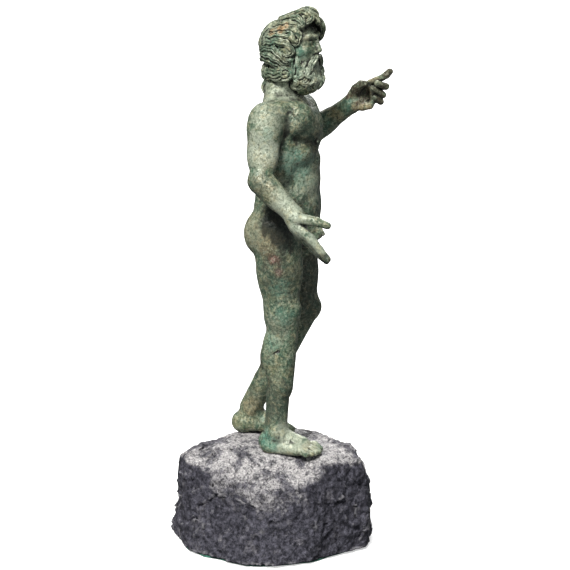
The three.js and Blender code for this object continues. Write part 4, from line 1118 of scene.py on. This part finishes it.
# Colours of the patina, and of the painted highlight and painted shade laid on it, named after where they
# show
BASE_GREENS = ((0.08, 0.145, 0.09), (0.19, 0.21, 0.115))
CLOUD_GREY = (0.27, 0.31, 0.21)
# Pale of worn patina and painted highlight, laid in the pale spots
WORN_PALE_AND_HIGHLIGHT = (0.46, 0.5, 0.4)
# Painted shade and painted shadow, laid in the spots of shade
SHADED = (0.028, 0.038, 0.026)
BLOTCH_GREEN = (0.04, 0.11, 0.066)
CRUST_OCHRE = (0.42, 0.38, 0.22)
EDGE_PALE = (0.5, 0.54, 0.42)
SPECK_PALE = (0.48, 0.52, 0.4)
STAIN_DARK = (0.05, 0.075, 0.045)
GRAIN_DARK = (0.037, 0.052, 0.03)
GRAIN_PALE = (0.4, 0.43, 0.3)
# A second layer of worn patina and painted highlight in the pale spots
PALE_VEIL_AND_HIGHLIGHT = (0.37, 0.43, 0.31)
# A deeper second layer of painted shade and painted shadow
PAINTED_SHADE_DEEP = (0.013, 0.017, 0.012)
# Near-black of hollows and creases: dark patina with painted shade
HOLLOW_BLACK = (0.014, 0.018, 0.011)
CREASE_BLACK = (0.01, 0.012, 0.008)

# Colours of the patches of other corrosion
PATCHES = {
    "turquoise": (0.1, 0.3, 0.225),
    "ochre": (0.42, 0.34, 0.19),
    "orange": (0.5, 0.27, 0.11),
    "brown": (0.055, 0.033, 0.018),
    "rust": (0.15, 0.05, 0.035),
    "pink": (0.4, 0.24, 0.2),
}


def bronze_material():
    """Matt green patina: pale high places with painted highlight where the light falls, green-black hollows
    and pits that are partly painted shade, spots of painted shade and shadow, and patches of other corrosion.
    """
    s = Shader("bronze_patina")
    grain = s.noise(0.8, 3, 0.6)
    speck = s.noise(1.5, 5, 0.7)
    mottle = s.noise(3.2, 6, 0.72, 0.5)
    cloud = s.noise(7, 5, 0.66, 0.6)
    colour = s.mix(s.ramp(s.noise(15, 4, 0.6), 0.4, 0.6), *BASE_GREENS)
    colour = s.mix(s.ramp(cloud, 0.42, 0.6, 0, 0.8), colour, CLOUD_GREY)
    # Pale worn patina with painted highlight where the light falls
    colour = s.mix(s.painted("pale"), colour, WORN_PALE_AND_HIGHLIGHT)
    # Painted shade and painted shadow in the spots of shade
    colour = s.mix(s.painted("painted_shade"), colour, SHADED)
    calm = s.ramp(s.painted("pale"), 0, 0.8, 1, 0.3)
    blotch = s.product(calm, s.ramp(mottle, 0.49, 0.4, 0, 0.85))
    colour = s.mix(blotch, colour, BLOTCH_GREEN)
    colour = s.mix(s.ramp(mottle, 0.53, 0.61, 0, 0.6), colour, CRUST_OCHRE)
    colour = s.mix(s.ramp(s.painted("edge"), 0.2, 0.7, 0, 0.6), colour, EDGE_PALE)
    for name, paint_colour in PATCHES.items():
        patch = s.product(s.painted(name), s.ramp(s.noise(1.8, 4, 0.7), 0.3, 0.5))
        colour = s.mix(patch, colour, paint_colour)
    colour = s.mix(s.ramp(speck, 0.53, 0.62, 0, 0.45), colour, SPECK_PALE)
    stain = s.product(calm, s.ramp(speck, 0.4, 0.5, 0.65, 0))
    colour = s.mix(stain, colour, STAIN_DARK)
    colour = s.mix(s.ramp(grain, 0.41, 0.5, 0.48, 0), colour, GRAIN_DARK)
    colour = s.mix(s.product(calm, s.ramp(grain, 0.52, 0.62, 0, 0.15)), colour, GRAIN_PALE)
    # Again pale worn patina and painted highlight, over the grain
    colour = s.mix(s.product(s.painted("pale"), 0.3), colour, PALE_VEIL_AND_HIGHLIGHT)
    # Again painted shade and painted shadow, over the grain
    colour = s.mix(s.product(s.painted("painted_shade"), 0.85), colour, PAINTED_SHADE_DEEP)
    # Dark patina and painted shade in hollows and creases, by how deep each point lies
    colour = s.mix(s.ramp(s.painted("hollow"), 0.36, 0.88, 0, 0.9), colour, HOLLOW_BLACK)
    colour = s.mix(s.ramp(s.painted("crease"), 0.08, 0.4, 0, 0.96), colour, CREASE_BLACK)
    height = s.total(s.ramp(speck, 0.3, 0.5), s.product(mottle, 1.5))
    normal = s.bump(grain, 0.1, s.bump(height, 0.26))
    s.surface.inputs["Metallic"].default_value = 0.1
    s.surface.inputs["Specular IOR Level"].default_value = 0.55
    return s.finish(colour, s.ramp(speck, 0.3, 0.7, 0.6, 0.36), normal)


# Colours of the stone
STONE_BLUES = ((0.012, 0.012, 0.02), (0.15, 0.147, 0.185))
STONE_GREY = (0.27, 0.26, 0.285)
# Pale of upward faces: painted light from above, with bruised stone
BRUISE_AND_PAINTED_LIGHT = (0.56, 0.54, 0.54)
CRYSTAL_WHITE = (0.85, 0.83, 0.82)
STONE_GRAIN = (0.025, 0.025, 0.032)
STONE_EDGE = (0.42, 0.41, 0.43)
STONE_BLACK = (0.01, 0.01, 0.014)


def stone_material():
    """Dark blue-grey mottled stone, paler where it faces up with painted light from above and pale
    crystalline bruises, and with painted shade in its hollows.
    """
    s = Shader("rough_stone")
    mottle = s.noise(2.6, 8, 0.8, 0.3)
    grain = s.noise(1.1, 5, 0.72)
    colour = s.mix(s.ramp(mottle, 0.4, 0.64), *STONE_BLUES)
    colour = s.mix(s.ramp(s.noise(8, 7, 0.75), 0.54, 0.66, 0, 0.6), colour, STONE_GREY)
    # Paler where the stone faces up and in the listed spots: painted light from above, with pale bruises and
    # white crystals in it
    broad = s.ramp(s.noise(12, 7, 0.7, 0.4), 0.42, 0.56, 0.1, 1)
    pale = s.product(broad, s.ramp(mottle, 0.4, 0.53, 0.2, 1))
    pale = s.product(s.painted("pale"), pale)
    colour = s.mix(pale, colour, BRUISE_AND_PAINTED_LIGHT)
    colour = s.mix(s.product(pale, s.ramp(grain, 0.5, 0.62)), colour, CRYSTAL_WHITE)
    colour = s.mix(s.ramp(grain, 0.36, 0.48, 0.7, 0), colour, STONE_GRAIN)
    colour = s.mix(s.ramp(s.painted("edge"), 0.3, 0.8, 0, 0.45), colour, STONE_EDGE)
    # Painted shade in the stone's hollows
    colour = s.mix(s.ramp(s.painted("hollow"), 0.3, 0.75, 0, 0.85), colour, STONE_BLACK)
    height = s.total(s.product(s.noise(1.6, 4, 0.7), 0.8), s.noise(3.2, 6, 0.75))
    normal = s.bump(grain, 0.35, s.bump(height, 1.6))
    s.surface.inputs["Specular IOR Level"].default_value = 0.4
    return s.finish(colour, s.ramp(grain, 0.3, 0.6, 0.6, 0.9), normal)


def felt_material():
    """Dull green felt with a fine fibre."""
    s = Shader("green_felt")
    fibre = s.noise(0.5, 5, 0.8, 1.5)
    colour = s.mix(s.ramp(fibre, 0.35, 0.65), (0.012, 0.09, 0.06), (0.03, 0.19, 0.13))
    s.surface.inputs["Sheen Weight"].default_value = 0.4
    return s.finish(colour, s.ramp(fibre, 0.3, 0.7, 0.85, 1.0), s.bump(fibre, 0.2))


def floor_material():
    """Even pale floor that glows a little, so that shadows on it stay faint."""
    s = Shader("pale_floor")
    s.surface.inputs["Base Color"].default_value = (0.86, 0.86, 0.85, 1)
    s.surface.inputs["Roughness"].default_value = 0.9
    s.surface.inputs["Emission Color"].default_value = (1, 1, 1, 1)
    s.surface.inputs["Emission Strength"].default_value = 0.55
    return s.material


# Pieces

# Ragged spots on the figure, of corrosion and of painted light and shade: centre in millimetres, radius and
# strength
CORROSION_AND_PAINTED_LIGHT = {
    "turquoise": (
        ((-15.7, -17.9, 206.9), 4.5, 0.9), ((-15, -16.5, 202), 10, 0.7), ((-12.8, -18.7, 196.3), 7, 0.3),
        ((-21.5, -10.7, 139), 6, 0.5), ((-20.3, -13, 124.4), 6, 0.35), ((-18.9, -4.8, 112), 6, 0.35),
        ((-15.4, -1.6, 60.4), 5, 0.8), ((-16.9, -4.7, 58), 5, 0.7), ((-10.3, -16.9, 258.5), 3, 0.6),
        ((-9.5, -19.5, 256.5), 2.4, 0.4), ((-10, -14, 252), 4, 0.4), ((38.5, -29.8, 222.5), 5, 0.5),
        ((-37, -2, 203), 4, 0.35), ((39.2, -18.2, 213.4), 4, 0.3), ((-12, 2, 257), 6, 0.35),
        ((-12, -4, 263), 5, 0.3), ((-11, -15, 247), 5, 0.4), ((-34, -8, 220), 3.5, 0.35),
    ),
    "ochre": (
        ((-22.9, -4, 163), 8, 0.7), ((-42.2, -11, 192), 5, 0.3), ((-36, -5.5, 207), 6, 0.35),
        ((39.9, -34.8, 221.9), 3.6, 0.95), ((40, -39.5, 222.1), 3.6, 0.95),
        ((41.5, -41.5, 230.8), 3, 0.95), ((41.5, -43.5, 235), 3.4, 0.8), ((-13.3, -24.2, 56.3), 5, 0.35),
        ((11.2, 14.2, 68), 6, 0.5), ((-20, 8, 168), 12, 0.35), ((-5, -18, 273), 4, 0.4),
        ((39, -24, 218), 4, 0.5), ((-7, 10, 262), 5, 0.3),
    ),
    "orange": (
        ((-9.7, -3.5, 266.8), 2.4, 0.7), ((-11.7, -8.1, 268.3), 2.2, 0.8),
        ((-10.7, -10.9, 270.2), 1.8, 0.6),
    ),
    "brown": (
        ((37.8, -34.2, 231), 5.4, 1), ((37.5, -39, 234.5), 4.6, 1), ((41.9, -38, 227.5), 5.4, 1),
        ((39.3, -49.5, 232.5), 4.6, 0.9), ((39, -47.5, 228.9), 4.4, 0.9),
        ((38.9, -46.6, 225.2), 4.4, 0.85), ((41.8, -51.5, 240), 4.4, 1), ((-1, -29.5, 163), 4.5, 1),
        ((-22.6, -6, 157), 8, 0.6), ((39, -44, 231), 7, 0.7), ((-43.5, -36, 177.6), 2.4, 0.6),
        ((4, -24, 268), 3, 0.6), ((8, -24, 266), 4, 0.7), ((-8.5, -19.5, 262), 3, 0.4),
    ),
    "rust": (
        ((-22.5, -7.4, 154.7), 3.4, 0.9), ((-22.2, -10.1, 148.7), 3, 0.5), ((39.5, -29.4, 228), 3, 0.7),
    ),
    "pink": (((-22.5, -7.4, 154.7), 1.3, 0.9), ((-22.2, -10.1, 148.7), 2, 0.5)),
    # Pale spots: pale worn patina, with painted highlight where the light falls on shoulder, arm, neck, belly
    # and foot
    "pale": (
        ((-31, -7, 228), 11, 0.5), ((-35, -5.3, 213), 11, 0.95), ((-41, -5, 199), 6, 0.2),
        ((-43, -19, 186), 10, 0.8), ((-43, -26, 178), 8, 0.8), ((-14.7, -14, 60), 10, 0.9),
        ((-13.3, -24.2, 56.3), 7, 0.7), ((-10, 0, 232), 12, 0.5), ((-8, -9, 238), 9, 0.95),
        ((-44, -36, 170), 8, 0.6), ((-10, -24, 192), 11, 0.4), ((-15, -17, 202), 10, 0.5),
        ((-19, -10, 190), 8, 0.35), ((-24, 4, 168), 12, 0.35), ((-5, -19, 266), 6, 0.35),
        ((-18, -8, 119), 9, 0.25), ((-9, 2, 268), 9, 0.3), ((-6, -22, 246), 10, 0.5),
    ),
    # Spots of painted shade and painted shadow, such as the forearm's shadow on the hip and the far leg in
    # the near leg's shade
    "painted_shade": (
        ((-42, -5, 198), 9, 0.25), ((-21, -11, 145), 12, 0.4), ((6, -18, 140), 15, 0.6),
        ((8, -17, 126), 12, 0.45), ((-22, -10, 172), 11, 1), ((-20, -14, 179), 8, 1),
        ((-21, -13, 164), 7, 0.9), ((-17, -5, 80), 13, 0.4), ((11, 11, 72), 8, 0.3),
        ((-12, -20, 218), 11, 0.4), ((-44, -40.5, 161.5), 4, 0.7), ((10, 6, 96), 14, 0.45),
        ((-9, -21, 214), 8, 0.4),
    ),
}


def bronze_pieces():
    """The body and the head, which overlap a little at the seam in the neck."""
    material = bronze_material()
    for name, clay, way in (("patinated_body", body_clay(), 1), ("patinated_head", head_clay(), -1)):
        points, faces = skin(clay)
        middle = points[faces].mean(1)
        faces = faces[(way * middle[:, 2] < way * SEAM + OVERLAP / 2) | (middle[:, 0] > RAISED_HAND_FROM)]
        kept, faces = np.unique(faces, return_inverse=True)
        piece = thinned(mesh_object(name, points[kept], faces.reshape(-1, 4)), PIECE_TRIANGLES)
        points, _ = vertices(piece)
        # Depth in creases and hollows, which the material darkens as dark patina and painted shade, and reach
        # out on edges
        paint(piece, "crease", hollows(clay, piece, (0.4, 0.9)))
        paint(piece, "hollow", hollows(clay, piece, (2.5, 6)))
        paint(piece, "edge", hollows(clay, piece, (0.7, 1.8), -1))
        # Spots of corrosion, pale spots of worn patina with painted highlight, and spots of painted shade and
        # painted shadow
        for patch, places in CORROSION_AND_PAINTED_LIGHT.items():
            paint(piece, patch, spots(points, places))
        piece.data.materials.append(material)
        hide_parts("bronze_figure")
        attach(piece, "root")


# Pale places on the stone, painted light on its lit slopes with bruised stone: centre in millimetres, radius
# and strength
PALE_STONE = (
    ((-40, -20, 38), 12, 0.8),
    ((-36, -4, 42), 14, 0.7),
    ((-36, 16, 42), 10, 0.5),
    ((6, -50, 12), 9, 0.6),
)


def stone_piece():
    """The stone, paler where its surface rises to face up, as painted light from above with bruised stone."""
    clay = stone_clay()
    piece = thinned(mesh_object("rough_stone", *skin(clay)), PIECE_TRIANGLES)
    points, _ = vertices(piece)
    # Depth in hollows, which the material darkens as painted shade
    paint(piece, "hollow", hollows(clay, piece, (1.2, 3)))
    paint(piece, "edge", hollows(clay, piece, (1.2, 3), -1))
    # Upward faces painted pale, as painted light from above with bruised stone
    reach = 4
    rise = (clay.sample(points + reach * UP) - clay.sample(points - reach * UP)) / (2 * reach)
    paint(piece, "pale", np.maximum(smooth_step(rise, 0.35, 0.7), spots(points, PALE_STONE)))
    piece.data.materials.append(stone_material())
    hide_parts("stone_base")
    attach(piece, "root")


def felt_outline(inset, count=240):
    """The stone's outline at its foot, a little way in, with a slightly uneven cut."""
    outline = []
    for i in range(count):
        a = 2 * math.pi * i / count
        way = vec(math.sin(a), -math.cos(a), 0)
        reach = FAR
        for azimuth, rise, out, _ in STONE_WALLS:
            share = max(way @ facing(azimuth, 0), 0.01)
            reach = min(reach, (out - STONE_BOTTOM * math.tan(math.radians(rise))) / share)
        uneven = 0.4 * math.sin(7 * a) + 0.3 * math.sin(17 * a + 1)
        outline.append(way * (reach - inset + uneven))
    return np.array(outline)


def felt_piece():
    """A sheet of felt with soft edges under the stone."""
    outline = felt_outline(FELT_INSET)
    rings = ((0.985, 0.06), (1, 0.25), (1.002, 0.5), (1, 0.75), (0.985, 0.94))
    middles = (0.3, 0.6, 0.85)
    count = len(outline)
    levels = [*((share, 0) for share in middles), *rings, *((share, 1) for share in reversed(middles))]
    points = [outline * share + vec(0, 0, height * FELT_THICKNESS) for share, height in levels]
    points = np.concatenate([*points, [vec(0, 0, 0), vec(0, 0, FELT_THICKNESS)]])
    faces = []
    for level in range(len(levels) - 1):
        for i in range(count):
            a, b = level * count + i, level * count + (i + 1) % count
            faces.append((a, b, b + count, a + count))
    piece = mesh_object("green_felt", points, np.array(faces))
    shape = bmesh.new()
    shape.from_mesh(piece.data)
    shape.verts.ensure_lookup_table()
    for centre, level in ((-2, 0), (-1, len(levels) - 1)):
        for i in range(count):
            a, b = level * count + i, level * count + (i + 1) % count
            corners = (b, a) if level == 0 else (a, b)
            shape.faces.new([shape.verts[c] for c in (*corners, len(shape.verts) + centre)])
    bmesh.ops.recalc_face_normals(shape, faces=shape.faces)
    shape.to_mesh(piece.data)
    shape.free()
    piece.data.polygons.foreach_set("use_smooth", np.ones(len(piece.data.polygons), bool))
    piece.data.materials.append(felt_material())
    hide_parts("felt_pad")
    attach(piece, "root")


# Stage: camera at the photograph's viewing angle and distance, pale floor and soft light

CAMERA_AZIMUTH = 285
CAMERA_ELEVATION = 14
CAMERA_PLACE = Vector((-1.373197, -0.375462, 0.490668))
SENSOR = 36.0
FOCAL_PIXELS = 2893
PHOTO_PIXELS = 570


def aimed(name, data, azimuth, elevation):
    """A camera or lamp that looks inward from a direction."""
    made = bpy.data.objects.new(name, data)
    made.rotation_mode = "QUATERNION"
    made.rotation_quaternion = Vector(-facing(azimuth, elevation)).to_track_quat("-Z", "Y")
    bpy.context.scene.collection.objects.link(made)
    return made


def camera():
    data = bpy.data.cameras.new("camera")
    data.sensor_width = SENSOR
    data.lens = SENSOR * FOCAL_PIXELS / PHOTO_PIXELS
    data.clip_start = 0.1
    data.clip_end = 20
    made = aimed("camera", data, CAMERA_AZIMUTH, CAMERA_ELEVATION)
    made.location = CAMERA_PLACE
    bpy.context.scene.camera = made


def lamp(name, azimuth, elevation, spread, strength, colour=(1, 1, 1)):
    """A far lamp of some apparent size in degrees, which shines on the statuette from one side."""
    data = bpy.data.lights.new(name, "SUN")
    data.angle = math.radians(spread)
    data.energy = strength
    data.color = colour
    aimed(name, data, azimuth, elevation)


def stage():
    """An even pale floor, weak light from all sides, and three lamps: a strong one high on the camera's left,
    a weak low one on its right, and one behind the statuette."""
    corners = FLOOR_REACH * np.array([(-1, -1, 0), (1, -1, 0), (1, 1, 0), (-1, 1, 0)], float)
    floor = mesh_object("floor", corners, np.array([[0, 1, 2, 3]]))
    floor.data.materials.append(floor_material())
    floor.visible_diffuse = False
    floor.visible_glossy = False
    world = bpy.data.worlds.new("studio")
    world.use_nodes = True
    sky = world.node_tree.nodes["Background"]
    sky.inputs["Color"].default_value = (0.93, 0.96, 1, 1)
    sky.inputs["Strength"].default_value = 0.17
    bpy.context.scene.world = world
    lamp("key", azimuth=262, elevation=50, spread=16, strength=5, colour=(1, 0.985, 0.96))
    lamp("fill", azimuth=310, elevation=12, spread=40, strength=0.35)
    lamp("back", azimuth=100, elevation=35, spread=40, strength=2.4)
    bpy.context.scene.view_settings.view_transform = "Standard"


camera()
stage()
bronze_pieces()
stone_piece()
felt_piece()
